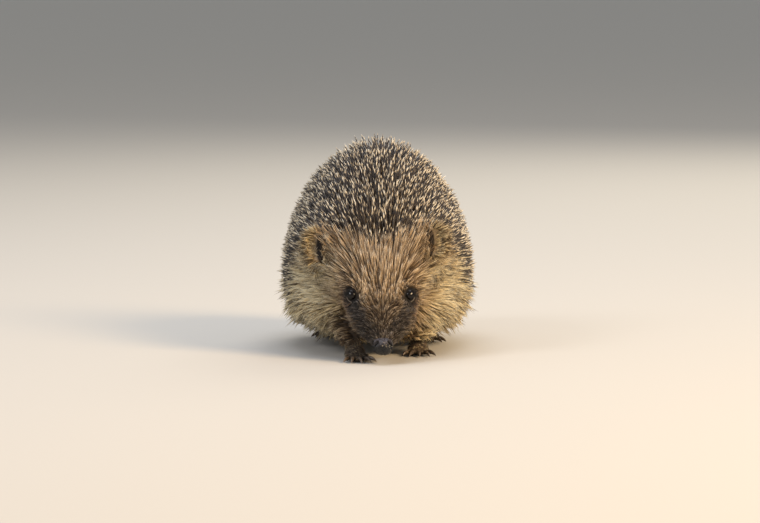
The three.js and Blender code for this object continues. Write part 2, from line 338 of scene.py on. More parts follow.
@dataclass(frozen=True)
class BodyPlan:
    """Where each kind of coat grows, how deep it is and which way it lies, in millimetres of the frame."""

    nose: Array
    eyes: dict[Side, Array]
    ears: dict[Side, Array]
    eye_radius: float
    face_middle: tuple[float, float, float] = (2.0, -97.0, 39.0)  # the point that the face's hair leaves
    brow_line: tuple[float, float] = (-79.0, 69.0)  # Y and Z of the quills' front edge, over the forehead
    brow_slope: float = 44.0
    flank_line: float = 42.0  # height of the quills' lower edge
    quill_depth: float = 9.5  # how far the quills' tips stand off the skin

    @staticmethod
    def from_frame() -> "BodyPlan":
        """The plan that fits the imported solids.

        Returns:
            The plan.
        """
        low, high = node_box("eye_left")
        return BodyPlan(
            nose=node_middle("nose"),
            eyes={side: node_middle(f"eye_{side.word}") - [side.value * 0.4, 0.0, 0.8] for side in Side},
            ears={side: node_middle(f"ear_{side.word}") for side in Side},
            eye_radius=float((high - low).max() / 2.0),
        )

    def sockets(self) -> list["EyeSocket"]:
        """The lids of both eyes."""
        return [EyeSocket(self.eyes[side], side, self.eye_radius) for side in Side]

    def quill_edge(self, p: Array) -> Array:
        """How far each point lies inside the quills' mantle, in millimetres, below 0 outside it.

        Args:
            p: Points on the solids' outline or near it.

        Returns:
            One distance for each point.
        """
        x, y, z = p.T
        slope = math.radians(self.brow_slope)
        aside = np.abs(x + 1.0)
        lift = 17.0 * rise(0.0, 30.0, aside) + 6.0 * bell(aside, 26.0, 8.0)
        front = (y - self.brow_line[0]) * math.cos(slope) + (z - self.brow_line[1]) * math.sin(slope) - lift
        edge = self.flank_line + 19.0 * rise(-30.0, -66.0, y) + 3.0 * rise(35.0, 95.0, y)
        return np.minimum(front, 0.9 * (z - edge))

    def coat_depth(self, p: Array) -> Array:
        """How deep the coat is at each point of the solids' outline, in millimetres.

        Args:
            p: Points on the body, in millimetres.

        Returns:
            One depth for each point, below 0 where the skin stands out instead.
        """
        _, y, z = p.T
        from_nose = self.from_nose(p)
        face = 0.45 + 0.55 * rise(6.0, 18.0, from_nose) + 0.9 * rise(22.0, 42.0, from_nose)
        face += 2.6 * rise(40.0, 62.0, from_nose)
        under = rise(-66.0, -46.0, y) * rise(60.0, 30.0, z)
        skirt = 6.5 - 1.5 * rise(16.0, 8.0, z)
        body = face * (1.0 - under) + skirt * under
        body = np.maximum(body, skirt * rise(-60.0, -35.0, y))
        for eye in self.eyes.values():
            # Here the skin stands out instead, for the lids to have something to be drawn from.
            close = nearby(p, eye, 8.0, 4.6)
            body = body * (1.0 - close) - 1.2 * close
        for ear in self.ears.values():
            body = body * (1.0 - 0.45 * nearby(p, ear, 18.0, 9.0))
        quills = rise(-9.0, 9.0, self.quill_edge(p))
        return body * (1.0 - quills) + self.quill_depth * quills

    def lie(self, p: Array, normals: Array) -> Array:
        """The way the coat lies at each point of the skin, flat on the skin.

        Args:
            p: Points on the skin.
            normals: The skin's normals there.

        Returns:
            One direction of length one for each point.
        """
        x, y, z = p.T
        radial = unit(p - np.array(self.face_middle))
        from_nose = unit(p - self.nose)
        reach = self.from_nose(p)
        bridge = rise(19.0, 8.0, np.abs(x - 2.0)) * rise(80.0, 50.0, reach)
        bridge = bridge * rise(38.0, 46.0, z + 0.5 * reach)
        flow = mix(radial, from_nose, np.maximum(bell(reach, 0.0, 26.0), bridge))
        back = np.column_stack([0.35 * np.sign(x) * rise(0, 25, np.abs(x)), np.full(len(p), 0.9), 0.0 * x])
        behind = rise(-40.0, 10.0, y) * 0.75
        flow = mix(flow, back, behind)
        for eye in self.eyes.values():
            # Hair parts round each eye instead of growing over it.
            away = unit(p - eye)
            towards = np.minimum(np.sum(flow * away, axis=1), 0.0) * nearby(p, eye, 14.0, 7.0)
            flow = flow - away * (1.4 * towards)[:, None]
        for side, ear in self.ears.items():
            # An ear's hair points away from its hollow.
            offset = p - ear + np.array([side.value * 2.6, 0.0, 0.0])
            close = nearby(offset, np.zeros(3), 14.0, 10.0) * rise(-2.0, 1.0, side.value * offset[:, 0])
            flow = mix(flow, unit(unit(offset * [1.0, 0.2, 0.35]) + [0.0, 0.45, 0.0]), close)
        low = rise(52.0, 18.0, z) * rise(-88.0, -50.0, y)
        flow[:, 2] -= 0.75 * low
        flow[:, 0] += 0.35 * np.sign(x) * low * rise(12.0, 40.0, np.abs(x))
        return along_surface(flow, normals)

    def dark_mask(self, p: Array) -> Array:
        """How dark the face's markings are, from 0 on plain fur to 1 in the mask.

        Args:
            p: Points on the body, in millimetres.

        Returns:
            One share for each point.
        """
        shade = np.zeros(len(p))
        for side, eye in self.eyes.items():
            offset = p - eye
            ring = nearby(p, eye, 6.4, 3.8)
            # The mask runs from each eye down the side of the snout to the nose.
            end = self.nose + np.array([side.value * 6.0, 4.0, 5.0])
            line = end - eye
            share = np.clip(offset @ line / (line @ line), 0.0, 1.0)
            gap = offset - share[:, None] * line
            gap[:, 2] *= np.where(gap[:, 2] < 0.0, 0.55, 1.0 + 0.9 * (1.0 - share))
            gap[:, 0] *= np.where(side.value * gap[:, 0] > 0.0, 1.3, 1.0)
            away = np.linalg.norm(gap, axis=1)
            strip = rise(11.5, 4.5, away + 1.5 * (1.0 - share)) * (1.0 - 0.1 * share)
            shade = np.maximum(shade, np.maximum(ring, strip))
        reach = self.from_nose(p)
        snout = 0.62 * rise(38.0, 14.0, reach) + 0.2 * rise(15.0, 6.0, reach)
        return np.maximum(shade, snout) * rise(-50.0, -68.0, p[:, 1])

    def pale(self, p: Array) -> Array:
        """How pale the fur is, from 0 on the forehead's tan to 1 on the cheeks, skirt and belly.

        Args:
            p: Points on the body, in millimetres.

        Returns:
            One share for each point.
        """
        x, y, z = p.T
        cheek = rise(19.0, 32.0, np.abs(x - 1.0)) * rise(70.0, 48.0, z)
        lip = rise(26.0, 16.0, z + 0.6 * (y + 95.0)) * rise(-60.0, -75.0, y)
        lip = lip * rise(9.0, 14.0, self.from_nose(p))
        return np.maximum(np.maximum(cheek, 0.3 * lip), rise(-62.0, -48.0, y) * rise(58.0, 42.0, z))

    def rust(self, p: Array) -> Array:
        """How reddish the fur is: most so in a patch behind each eye and beside the mask.

        Args:
            p: Points on the body, in millimetres.

        Returns:
            One share for each point.
        """
        shade = np.zeros(len(p))
        for side, eye in self.eyes.items():
            middle = eye + np.array([side.value * 5.5, 1.0, -6.0])
            close = rise(8.5, 3.0, np.linalg.norm((p - middle) * [1.0, 0.8, 0.6], axis=1))
            shade = np.maximum(shade, 0.75 * close)
        return shade

    def ear_hollow(self, p: Array) -> Array:
        """How deep each point lies in an ear's bare hollow, from 0 outside it to 1 within.

        Args:
            p: Points on the body, in millimetres.

        Returns:
            One share for each point.
        """
        shade = np.zeros(len(p))
        for side, ear in self.ears.items():
            x, y, z = (p - ear).T
            oval = np.hypot((side.value * x + 2.8) / 2.9, z / 7.8)
            shade = np.maximum(shade, rise(1.25, 0.95, oval) * rise(9.0, 7.0, np.abs(y)))
        return shade

    def over_ears(self, p: Array, roots: Array) -> Array:
        """The tips of hair, kept clear of the ears.

        Args:
            p: The tips.
            roots: The roots of the same hairs.

        Returns:
            The tips, each of which lies over an ear's top or foot, stops at its slit or ends behind it.
        """
        moved = p.copy()
        for side, ear in self.ears.items():
            x, y, z = (p - ear).T
            out = side.value * x
            close = rise(14.0, 11.0, np.abs(z)) * rise(14.0, 10.0, np.abs(y))
            ends = np.maximum(rise(6.0, 8.0, z), rise(-6.5, -8.5, z))
            inner = rise(-4.0, -7.0, side.value * (roots - ear)[:, 0])
            within = rise(-9.5, -7.5, out) * rise(11.0, 8.0, out) * close
            behind = within * (1.0 - ends) * (1.0 - inner)
            front = within * (1.0 - behind)
            moved[:, 1] += front * np.minimum(-4.8 - y, 0.0) + behind * np.maximum(4.5 - y, 0.0)
            stop = 2.4 * np.sin(37.0 * z + 11.0 * y) - 6.6
            moved[:, 0] += side.value * 0.92 * within * (1.0 - ends) * inner * np.minimum(stop - out, 0.0)
        return moved

    def clear_of_eyes(self, p: Array) -> Array:
        """The points of hair, with those in front of an eye moved aside to its lids.

        Args:
            p: Points on the body, in millimetres.

        Returns:
            The points, with those near an eye moved.
        """
        moved = p.copy()
        for eye in self.eyes.values():
            x, y, z = (p - eye).T
            away = np.hypot(x, z)
            wide = np.maximum(1.0, 3.5 / away.clip(0.1))
            wide = np.where(y < 3.0, wide, 1.0)
            moved[:, 0] += x * (wide - 1.0)
            moved[:, 2] += z * (wide - 1.0)
        return moved

    def from_eyes(self, p: Array) -> Array:
        """How far each point is from the middle of the nearer eye."""
        return np.minimum.reduce([distance(p, eye) for eye in self.eyes.values()])

    def from_nose(self, p: Array) -> Array:
        """How far each point is from the middle of the nose."""
        return distance(p, self.nose)


# ---- The outline ----


@dataclass(frozen=True)
class Outline:
    """The solids' outline, evened out: the surface that the coat's tips reach."""

    tree: BVHTree

    @staticmethod
    def of(mesh: bpy.types.Mesh) -> "Outline":
        """The outline that a mesh of the whole body gives.

        Args:
            mesh: The mesh.

        Returns:
            The outline.
        """
        mesh.calc_loop_triangles()
        corners = read(mesh.loop_triangles, "vertices", 3)
        return Outline(BVHTree.FromPolygons(places(mesh).tolist(), corners.tolist()))

    def nearest(self, points: Array) -> tuple[Array, Array]:
        """The place on the outline that is nearest to each point, and the outline's normal there."""
        found = [self.tree.find_nearest(point)[:2] for point in points.tolist()]
        return np.array([spot for spot, _ in found]), np.array([normal for _, normal in found])


# ---- The skin ----


@dataclass
class Skin:
    """One skin over all the flesh, sunk below the solids by the depth of the coat."""

    plan: BodyPlan
    nodes: dict[str, bpy.types.Object]
    body_voxel: float = 1.15  # the size of the faces of each stage, in millimetres
    limb_voxel: float = 0.72
    plug_voxel: float = 0.8
    bridge_voxel: float = 1.6
    overlap: float = 0.28  # how far the solids are grown to close the cuts between them
    bridge: float = 6.5  # the radius of the creases that the coat hides
    head_middle: tuple[float, float, float] = (0.0, -45.0, 50.0)  # the plugs are pushed towards it
    plug_floor: float = 10.0  # the plugs of the legs stay above this height
    plug_front: float = -60.0  # and behind this Y
    sink_steps: int = 6  # the skin is sunk in steps, and evened out after each
    limb_growth: tuple[tuple[str, float], ...] = (
        ("ear", -0.25),
        ("leg", -0.9),
        ("foot", -0.3),
        ("tail", -0.8),
    )
    hidden_share: float = 0.22  # the share of faces kept where the coat hides the skin
    eye_margin: float = 3.6  # how far round an eyeball the skin gets finer faces
    outline: Outline = field(init=False)
    object: bpy.types.Object = field(init=False)
    points: Array = field(init=False)
    normals: Array = field(init=False)

    def copy(self, node: str, grow: float) -> bpy.types.Object:
        """A copy of a solid with its loose triangles merged, grown by some millimetres.

        Args:
            node: The solid's name.
            grow: How far to grow it, in millimetres.

        Returns:
            The copy.
        """
        mesh = self.nodes[node].data.copy()
        work = bmesh.new()
        work.from_mesh(mesh)
        bmesh.ops.remove_doubles(work, verts=work.verts, dist=1e-6)
        work.normal_update()
        steps = [vert.normal * grow * MM for vert in work.verts]
        for vert, step in zip(work.verts, steps):
            vert.co += step
        work.to_mesh(mesh)
        work.free()
        mesh.materials.clear()
        item = bpy.data.objects.new(f"{node}_copy", mesh)
        bpy.context.scene.collection.objects.link(item)
        return item

    def plugs(self) -> list[bpy.types.Object]:
        """Fillings for the pockets that legs, ears and eyes leave in the body, and a seat for the nose.

        Returns:
            The plugs, to be joined to the body.
        """
        items: list[bpy.types.Object] = []
        for foot in FEET:
            for part in ("leg", "foot"):
                item = self.copy(f"{part}_{foot}", self.overlap)
                points = places(item.data)
                points[:, 2] = np.maximum(points[:, 2], self.plug_floor)
                points[:, 1] = np.maximum(points[:, 1], self.plug_front)
                put_places(item.data, points)
                items.append(item)
        for side in Side:
            items.append(self.plug(f"ear_{side.word}", 3.2, 0.96))
            items.append(self.plug(f"eye_{side.word}", 1.6, 0.98))
        items.append(self.plug("nose", 3.4, 1.12))
        return items

    def plug(self, node: str, inwards: float, size: float) -> bpy.types.Object:
        """A copy of a solid, moved towards the middle of the head and scaled.

        Args:
            node: The solid's name.
            inwards: How far to move the copy, in millimetres.
            size: Its size, as a share of the solid's.

        Returns:
            The plug.
        """
        item = self.copy(node, self.overlap)
        apply_modifier(item, "REMESH", mode="VOXEL", voxel_size=self.plug_voxel * MM)
        points = places(item.data)
        middle = points.mean(axis=0)
        deeper = middle + inwards * unit(np.array(self.head_middle) - middle)
        put_places(item.data, deeper + (points - middle) * size)
        return item

    def sunk_body(self) -> bpy.types.Object:
        """The head, neck and trunk as one closed skin, sunk by the coat's depth.

        Returns:
            The skin, without ears, legs, feet and tail.
        """
        parts = [self.copy(node, self.overlap) for node in ("head", "neck", "trunk")]
        body = join(parts + self.plugs(), "body_skin")
        apply_modifier(body, "REMESH", mode="VOXEL", voxel_size=self.body_voxel * MM)
        apply_modifier(body, "SMOOTH", factor=0.5, iterations=26)
        self.outline = self.bridged(body)
        mesh = body.data
        ends = edge_ends(mesh)
        depth = spread(self.plan.coat_depth(places(mesh)), ends, 6) + self.overlap
        for _ in range(self.sink_steps):
            points = places(mesh) - facings(mesh) * depth[:, None] / self.sink_steps
            put_places(mesh, points)
            points = np.column_stack([spread(column, ends, 1) for column in places(mesh).T])
            put_places(mesh, points)
        return body

    def bridged(self, body: bpy.types.Object) -> Outline:
        """The body's outline with its creases filled, as long hair lies across them.

        Args:
            body: The body's skin before it is sunk.

        Returns:
            The outline that the coat's tips reach.
        """
        copy = bpy.data.objects.new("bridged_body", body.data.copy())
        bpy.context.scene.collection.objects.link(copy)
        put_places(copy.data, places(copy.data) + self.bridge * facings(copy.data))
        apply_modifier(copy, "REMESH", mode="VOXEL", voxel_size=self.bridge_voxel * MM)
        apply_modifier(copy, "SMOOTH", factor=0.5, iterations=6)
        put_places(copy.data, places(copy.data) - self.bridge * facings(copy.data))
        apply_modifier(copy, "SMOOTH", factor=0.5, iterations=4)
        outline = Outline.of(copy.data)
        bpy.data.objects.remove(copy)
        return outline

    def build(self) -> None:
        """Makes the skin."""
        body = self.sunk_body()
        growth = dict(self.limb_growth)
        limbs = [self.copy(name, growth[kind_of(name)]) for name in FLESH if kind_of(name) in growth]
        skin = join([body] + limbs, "skin")
        apply_modifier(skin, "REMESH", mode="VOXEL", voxel_size=self.limb_voxel * MM)
        apply_modifier(skin, "SMOOTH", factor=0.5, iterations=4)
        self.thin_out(skin)
        self.open_eyes(skin)
        choose(skin)
        bpy.ops.object.shade_smooth()
        self.unwrap(skin)
        self.object = skin
        self.points = places(skin.data)
        self.normals = facings(skin.data)

    def thin_out(self, skin: bpy.types.Object) -> None:
        """Uses fewer faces where the quills and the skirt hide the skin.

        Args:
            skin: The whole skin.
        """
        self.select_faces(skin, self.plan.quill_edge(places(skin.data)) + 9.0 > 0.0)
        bpy.ops.mesh.decimate(ratio=self.hidden_share)
        bpy.ops.object.mode_set(mode="OBJECT")

    @staticmethod
    def select_faces(item: bpy.types.Object, wanted: Array) -> None:
        """Enters edit mode with the faces selected whose corners are all wanted.

        Args:
            item: The object.
            wanted: Whether each vertex is wanted.
        """
        choose(item)
        mesh = item.data
        bpy.ops.object.mode_set(mode="EDIT")
        bpy.ops.mesh.select_mode(type="FACE")
        bpy.ops.mesh.select_all(action="DESELECT")
        bpy.ops.object.mode_set(mode="OBJECT")
        corners = read(mesh.loops, "vertex_index", 1)
        starts = read(mesh.polygons, "loop_start", 1)
        mesh.polygons.foreach_set("select", np.minimum.reduceat(wanted[corners].astype(np.int8), starts) > 0)
        bpy.ops.object.mode_set(mode="EDIT")

    def open_eyes(self, skin: bpy.types.Object) -> None:
        """Draws the lids over each eyeball and opens them.

        Args:
            skin: The whole skin.
        """
        for socket in self.plan.sockets():
            close = distance(places(skin.data), socket.centre) < socket.radius + self.eye_margin
            self.select_faces(skin, close)
            bpy.ops.mesh.subdivide(number_cuts=2, smoothness=0.0)
            bpy.ops.object.mode_set(mode="OBJECT")
            put_places(skin.data, socket.shape(places(skin.data)))

    @staticmethod
    def unwrap(skin: bpy.types.Object) -> None:
        """Lays the skin out flat for its bake.

        Args:
            skin: The whole skin.
        """
        choose(skin)
        while skin.data.uv_layers:
            skin.data.uv_layers.remove(skin.data.uv_layers[0])
        skin.data.uv_layers.new(name="OFBake")
        bpy.ops.object.mode_set(mode="EDIT")
        bpy.ops.mesh.select_all(action="SELECT")
        bpy.ops.uv.smart_project(angle_limit=math.radians(70.0), island_margin=0.002)
        bpy.ops.object.mode_set(mode="OBJECT")


    def nearness(self) -> dict[str, Array]:
        """How much each vertex belongs to an ear, foot, leg or the tail, as a share from 0 to 1.

        Returns:
            For each kind of part, one share for each vertex.
        """
        corners: list[Vector] = []
        faces: list[tuple[int, ...]] = []
        labels: list[str] = []
        for name in FLESH:
            mesh = self.nodes[name].data
            mesh.calc_loop_triangles()
            offset = len(corners)
            corners += [vert.co.copy() for vert in mesh.vertices]
            faces += [tuple(offset + i for i in tri.vertices) for tri in mesh.loop_triangles]
            labels += [kind_of(name)] * len(mesh.loop_triangles)
        tree = BVHTree.FromPolygons(corners, faces)
        parts = np.array([labels[tree.find_nearest(Vector(point))[2]] for point in self.points * MM])
        ends = edge_ends(self.object.data)
        kinds = ("ear", "foot", "leg", "tail")
        return {kind: spread((parts == kind).astype(float), ends, 3) for kind in kinds}

    def dress(self, near: dict[str, Array], material: bpy.types.Material) -> None:
        """Gives the skin its marks, its material and its place in the model.

        Args:
            near: How much each vertex belongs to each kind of part.
            material: The skin's material.
        """
        plan, p, mesh = self.plan, self.points, self.object.data
        mark(mesh, "mask", plan.dark_mask(p))
        mark(mesh, "bare", np.clip(near["ear"] + near["foot"] + near["leg"], 0.0, 1.0))
        mark(mesh, "ear", near["ear"])
        # The ears' hollows are marked to be painted dark: painted shade inside each ear.
        mark(mesh, "hollow", near["ear"] * plan.ear_hollow(p))
        # The lower lids' wet rims are marked for a pale painted glint.
        mark(mesh, "rim", np.maximum.reduce([socket.lower_lid_glint(p) for socket in plan.sockets()]))
        finish_piece(self.object, material, "skin", *FLESH)


@dataclass(frozen=True)
class EyeSocket:
    """The lids round one eyeball: an oval opening, a thick rim and a fold behind it."""

    centre: Array
    side: Side
    radius: float
    inner_width: float = 2.5
    outer_width: float = 3.1
    upper_height: float = 4.3
    lower_height: float = 3.2
    rim: float = 0.42  # how far the lid stands off the eyeball
    margin: float = 3.4  # how far round the eyeball the skin is drawn into lids
    glint_place: float = 1.1  # where the lower lid's painted glint lies on the oval
    glint_width: float = 0.075

    @property
    def axes(self) -> tuple[Array, Array, Array]:
        """The way the eye looks, its up and its sideways direction.

        Returns:
            Three directions of length one.
        """
        gaze = unit(np.array([self.side.value * -0.14, -0.97, -0.17]))
        upright = np.array([self.side.value * 0.16, 0.25, 1.0])
        up = unit(upright - gaze * (upright @ gaze))
        return gaze, up, np.cross(up, gaze)

    def oval(self, points: Array) -> Array:
        """Where each point lies on the opening's oval, with 1 on its edge and large values away from it.

        Args:
            points: Points in millimetres.

        Returns:
            One value for each point.
        """
        gaze, up, across = self.axes
        offset = points - self.centre
        aside, high = self.side.value * (offset @ across), offset @ up
        width = np.where(aside > 0.0, self.outer_width, self.inner_width)
        size = np.hypot(aside / width, high / np.where(high > 0.0, self.upper_height, self.lower_height))
        in_front = (offset @ gaze > -0.4) & (np.linalg.norm(offset, axis=1) < self.radius + self.margin)
        return np.where(in_front, size, 9.0)

    def lower_lid_glint(self, points: Array) -> Array:
        """How much each point belongs to the painted glint on the lower lid's wet rim."""
        high = (points - self.centre) @ self.axes[1]
        return bell(self.oval(points), self.glint_place, self.glint_width) * rise(0.3, -1.0, high)

    def shape(self, points: Array) -> Array:
        """Moves the skin's points near the eye onto its lids.

        Args:
            points: All of the skin's points, in millimetres.

        Returns:
            The points, with those near the eye moved.
        """
        gaze, up, across = self.axes
        offset = points - self.centre
        away = np.linalg.norm(offset, axis=1)
        out = unit(offset)
        wide, high = self.side.value * (offset @ across), offset @ up
        wide = wide / np.where(wide > 0.0, self.outer_width, self.inner_width)
        high = high / np.where(high > 0.0, self.upper_height, self.lower_height)
        ahead = offset @ gaze
        oval = np.sqrt(wide**2 + high**2)
        aside = offset @ unit(np.array([self.side.value, -0.35, -0.2]))
        close = (away < self.radius + self.margin) & (np.maximum(ahead + 0.8, aside - 0.2) > 0.0)
        opening = close & (ahead > -0.4) & (oval < 1.0)
        lid = close & ~opening
        stand = self.radius + self.rim * (0.55 + 0.45 * bell(oval, 1.12, 0.16))
        # The lid's edge hugs the eyeball, and the fold behind it stands out more.
        limit = stand + 1.5 * rise(1.15, 1.7, oval)
        keep = rise(1.5, 2.2, oval)
        outside = np.maximum(away, stand)
        reach = outside * keep + np.minimum(outside, limit) * (1.0 - keep)
        moved = points.copy()
        moved[lid] = self.centre + out[lid] * reach[lid, None]
        sunk = self.radius - 0.9 * rise(1.0, 0.9, oval)
        moved[opening] = self.centre + out[opening] * sunk[opening, None]
        return moved


# ---- Strands: the hairs and quills ----


@dataclass(frozen=True)
class StrandForm:
    """The cross-section and taper that the strands of a piece share."""

    sides: int
    stations: tuple[float, ...]  # where the rings stand along the strand, from 0 at its root
    widths: tuple[float, ...]  # each ring's radius, as a share of the strand's
    flatness: float  # thickness as a share of the width
    patch: float = 0.003  # the size of a strand's patch on the bake map
    ground: float = 0.25  # the height that no strand goes below

    def mesh(
        self, name: str, base: Array, middle: Array, tip: Array, facing: Array, radius: Array
    ) -> bpy.types.Mesh:
        """One mesh of many strands, each bending from base to tip by way of middle.

        Args:
            name: The mesh's name.
            base: Where each strand starts, in millimetres.
            middle: The point that each strand bends towards.
            tip: Where each strand ends.
            facing: The direction that each strand's flat side faces.
            radius: Half of each strand's width.

        Returns:
            The mesh, with closed strands that face outwards.
        """
        count, rings, sides = len(base), len(self.stations), self.sides
        t = np.array(self.stations)[None, :, None]
        b, m, e = base[:, None], middle[:, None], tip[:, None]
        line = (1 - t) ** 2 * b + 2 * t * (1 - t) * m + t**2 * e
        heading = unit(2 * (1 - t) * (m - b) + 2 * t * (e - m))
        side = unit(np.cross(heading, np.broadcast_to(facing[:, None], heading.shape)))
        up = np.cross(side, heading)
        angle = 2 * np.pi * (np.arange(sides) + 0.25) / sides
        size = radius[:, None] * np.array(self.widths)[None]
        ring = side[:, :, None] * np.cos(angle)[None, None, :, None]
        ring = ring + up[:, :, None] * (self.flatness * np.sin(angle))[None, None, :, None]
        points = line[:, :, None] + ring * size[:, :, None, None]
        points = np.concatenate([points.reshape(count, rings * sides, 3), tip[:, None]], axis=1)
        points[:, :, 2] = np.maximum(points[:, :, 2], self.ground)
        return self.faces(name, points)

    def faces(self, name: str, points: Array) -> bpy.types.Mesh:
        """The mesh of strands whose rings of points and tips are given.

        Args:
            name: The mesh's name.
            points: Each strand's points, ring by ring, with its tip last.

        Returns:
            The mesh.
        """
        count, per_strand = points.shape[:2]
        rings, sides = len(self.stations), self.sides
        after = [(s + 1) % sides for s in range(sides)]
        corners: list[int] = list(range(sides))
        starts: list[int] = [0]
        for r in range(rings - 1):
            for s in range(sides):
                starts.append(len(corners))
                low, high = r * sides, (r + 1) * sides
                corners += [low + s, high + s, high + after[s], low + after[s]]
        for s in range(sides):
            starts.append(len(corners))
            corners += [rings * sides, (rings - 1) * sides + after[s], (rings - 1) * sides + s]
        step = np.arange(count)[:, None]
        mesh = bpy.data.meshes.new(name)
        mesh.vertices.add(count * per_strand)
        mesh.vertices.foreach_set("co", (points * MM).astype(np.float32).ravel())
        mesh.loops.add(count * len(corners))
        joined = np.array(corners)[None] + step * per_strand
        mesh.loops.foreach_set("vertex_index", joined.astype(np.int32).ravel())
        mesh.polygons.add(count * len(starts))
        first = np.array(starts)[None] + step * len(corners)
        mesh.polygons.foreach_set("loop_start", first.astype(np.int32).ravel())
        mesh.polygons.foreach_set("use_smooth", np.ones(count * len(starts), dtype=bool))
        mesh.update(calc_edges=True)
        return mesh

    def dress(self, mesh: bpy.types.Mesh, root_uv: Array, marks: dict[str, Array]) -> None:
        """Gives each strand its patch of the bake map and its marks.

        Args:
            mesh: A mesh that this form made.
            root_uv: The place of each strand's root on the skin's layout.
            marks: Named numbers, one for each strand.
        """
        rings, sides = len(self.stations), self.sides
        per_strand = rings * sides + 1
        along = np.append(np.repeat(np.array(self.stations), sides), 1.0)
        across = np.append(np.tile(np.arange(sides) / max(sides - 1, 1), rings), 0.5)
        patch = self.patch * np.column_stack([across - 0.5, along - 0.5])
        spots = (root_uv[:, None] + patch[None]).reshape(-1, 2)
        corners = read(mesh.loops, "vertex_index", 1)
        layer = mesh.uv_layers.new(name="OFBake")
        layer.data.foreach_set("uv", np.clip(spots[corners], 0.0, 1.0).astype(np.float32).ravel())
        mark(mesh, "along", np.tile(along, len(root_uv)))
        for name, values in marks.items():
            mark(mesh, name, np.repeat(values, per_strand))


@dataclass
class Roots:
    """Places on the skin that strands grow from."""

    points: Array
    normals: Array
    uv: Array

    def __getitem__(self, wanted: Array) -> "Roots":
        """Some of the roots."""
        return Roots(self.points[wanted], self.normals[wanted], self.uv[wanted])

    def __len__(self) -> int:
        """How many roots there are."""
        return len(self.points)


@dataclass
class Ground:
    """The skin as ground for roots, which are strewn over it at any density."""

    skin: Skin

    def __post_init__(self) -> None:
        """Reads the skin's triangles, their areas and their places on its layout."""
        mesh = self.skin.object.data
        mesh.calc_loop_triangles()
        self.triangles = read(mesh.loop_triangles, "vertices", 3)
        loops = read(mesh.loop_triangles, "loops", 3)
        self.uv = read(mesh.uv_layers["OFBake"].data, "uv", 2, np.float32)[loops]
        a, b, c = (self.skin.points[self.triangles[:, i]] for i in range(3))
        self.areas = np.linalg.norm(np.cross(b - a, c - a), axis=1) / 2.0

    def strew(self, rng: np.random.Generator, density: Array) -> Roots:
        """Roots at random places.

        Args:
            rng: The source of chance.
            density: Roots per square millimetre, at each of the skin's vertices.

        Returns:
            The roots.
        """
        weight = density[self.triangles].mean(axis=1) * self.areas
        total = int(weight.sum())
        if total == 0:
            return Roots(np.empty((0, 3)), np.empty((0, 3)), np.empty((0, 2)))
        chosen = rng.choice(len(weight), total, p=weight / weight.sum())
        u, v = rng.random(total), rng.random(total)
        flip = u + v > 1.0
        u[flip], v[flip] = 1.0 - u[flip], 1.0 - v[flip]
        share = np.column_stack([1.0 - u - v, u, v])[:, :, None]
        corners = self.triangles[chosen]
        points = (self.skin.points[corners] * share).sum(axis=1)
        normals = unit((self.skin.normals[corners] * share).sum(axis=1))
        return Roots(points, normals, (self.uv[chosen] * share).sum(axis=1))

    @staticmethod
    def apart(roots: Roots, gap: float) -> Roots:
        """Leaves out roots that stand closer than a gap to one before them.

        Args:
            roots: The roots.
            gap: The least distance between two of them.

        Returns:
            The roots that are left.
        """
        cells: dict[tuple[int, int, int], list[int]] = {}
        keys = np.floor(roots.points / gap).astype(int)
        around = [(i, j, k) for i in (-1, 0, 1) for j in (-1, 0, 1) for k in (-1, 0, 1)]
        points = roots.points.tolist()
        kept: list[int] = []
        for index, key in enumerate(keys.tolist()):
            x, y, z = points[index]
            crowded = False
            for i, j, k in around:
                for other in cells.get((key[0] + i, key[1] + j, key[2] + k), ()):
                    a, b, c = points[other]
                    if (a - x) ** 2 + (b - y) ** 2 + (c - z) ** 2 < gap * gap:
                        crowded = True
                        break
                if crowded:
                    break
            if not crowded:
                cells.setdefault((key[0], key[1], key[2]), []).append(index)
                kept.append(index)
        return roots[np.array(kept)]


def place_piece(
    name: str, mesh: bpy.types.Mesh, material: bpy.types.Material, slot: str, *nodes: str
) -> None:
    """Puts a finished mesh in the scene as a piece of the animal.

    Args:
        name: The piece's name.
        mesh: Its mesh.
        material: Its material.
        slot: A material slot's name, handed on to finish_piece.
        nodes: The solids that it stands for.
    """
    item = bpy.data.objects.new(name, mesh)
    bpy.context.scene.collection.objects.link(item)
    finish_piece(item, material, slot, *nodes)


def strand_pieces(
    name: str,
    form: StrandForm,
    parts: dict[str, Array],
    material: bpy.types.Material,
    slot: str,
    most: int,
) -> None:
    """Makes the pieces of one kind of strand, from left to right, each under the limit of strands.

    Args:
        name: The pieces' common name.
        form: The strands' form.
        parts: base, middle, tip, facing, radius and uv, and any marks, one row for each strand.
        material: The pieces' material.
        slot: A material slot's name, handed on to place_piece.
        most: The most strands in a piece.
    """
    order = np.argsort(parts["base"][:, 0])
    pieces = max(1, math.ceil(len(order) / most))
    shape = ("base", "middle", "tip", "facing", "radius")
    for number, chosen in enumerate(np.array_split(order, pieces), start=1):
        title = f"{name}_{number}" if pieces > 1 else name
        mesh = form.mesh(title, *(parts[key][chosen] for key in shape))
        marks = {key: value[chosen] for key, value in parts.items() if key not in shape + ("uv",)}
        form.dress(mesh, parts["uv"][chosen], marks)
        place_piece(title, mesh, material, slot)


# ---- The quills ----


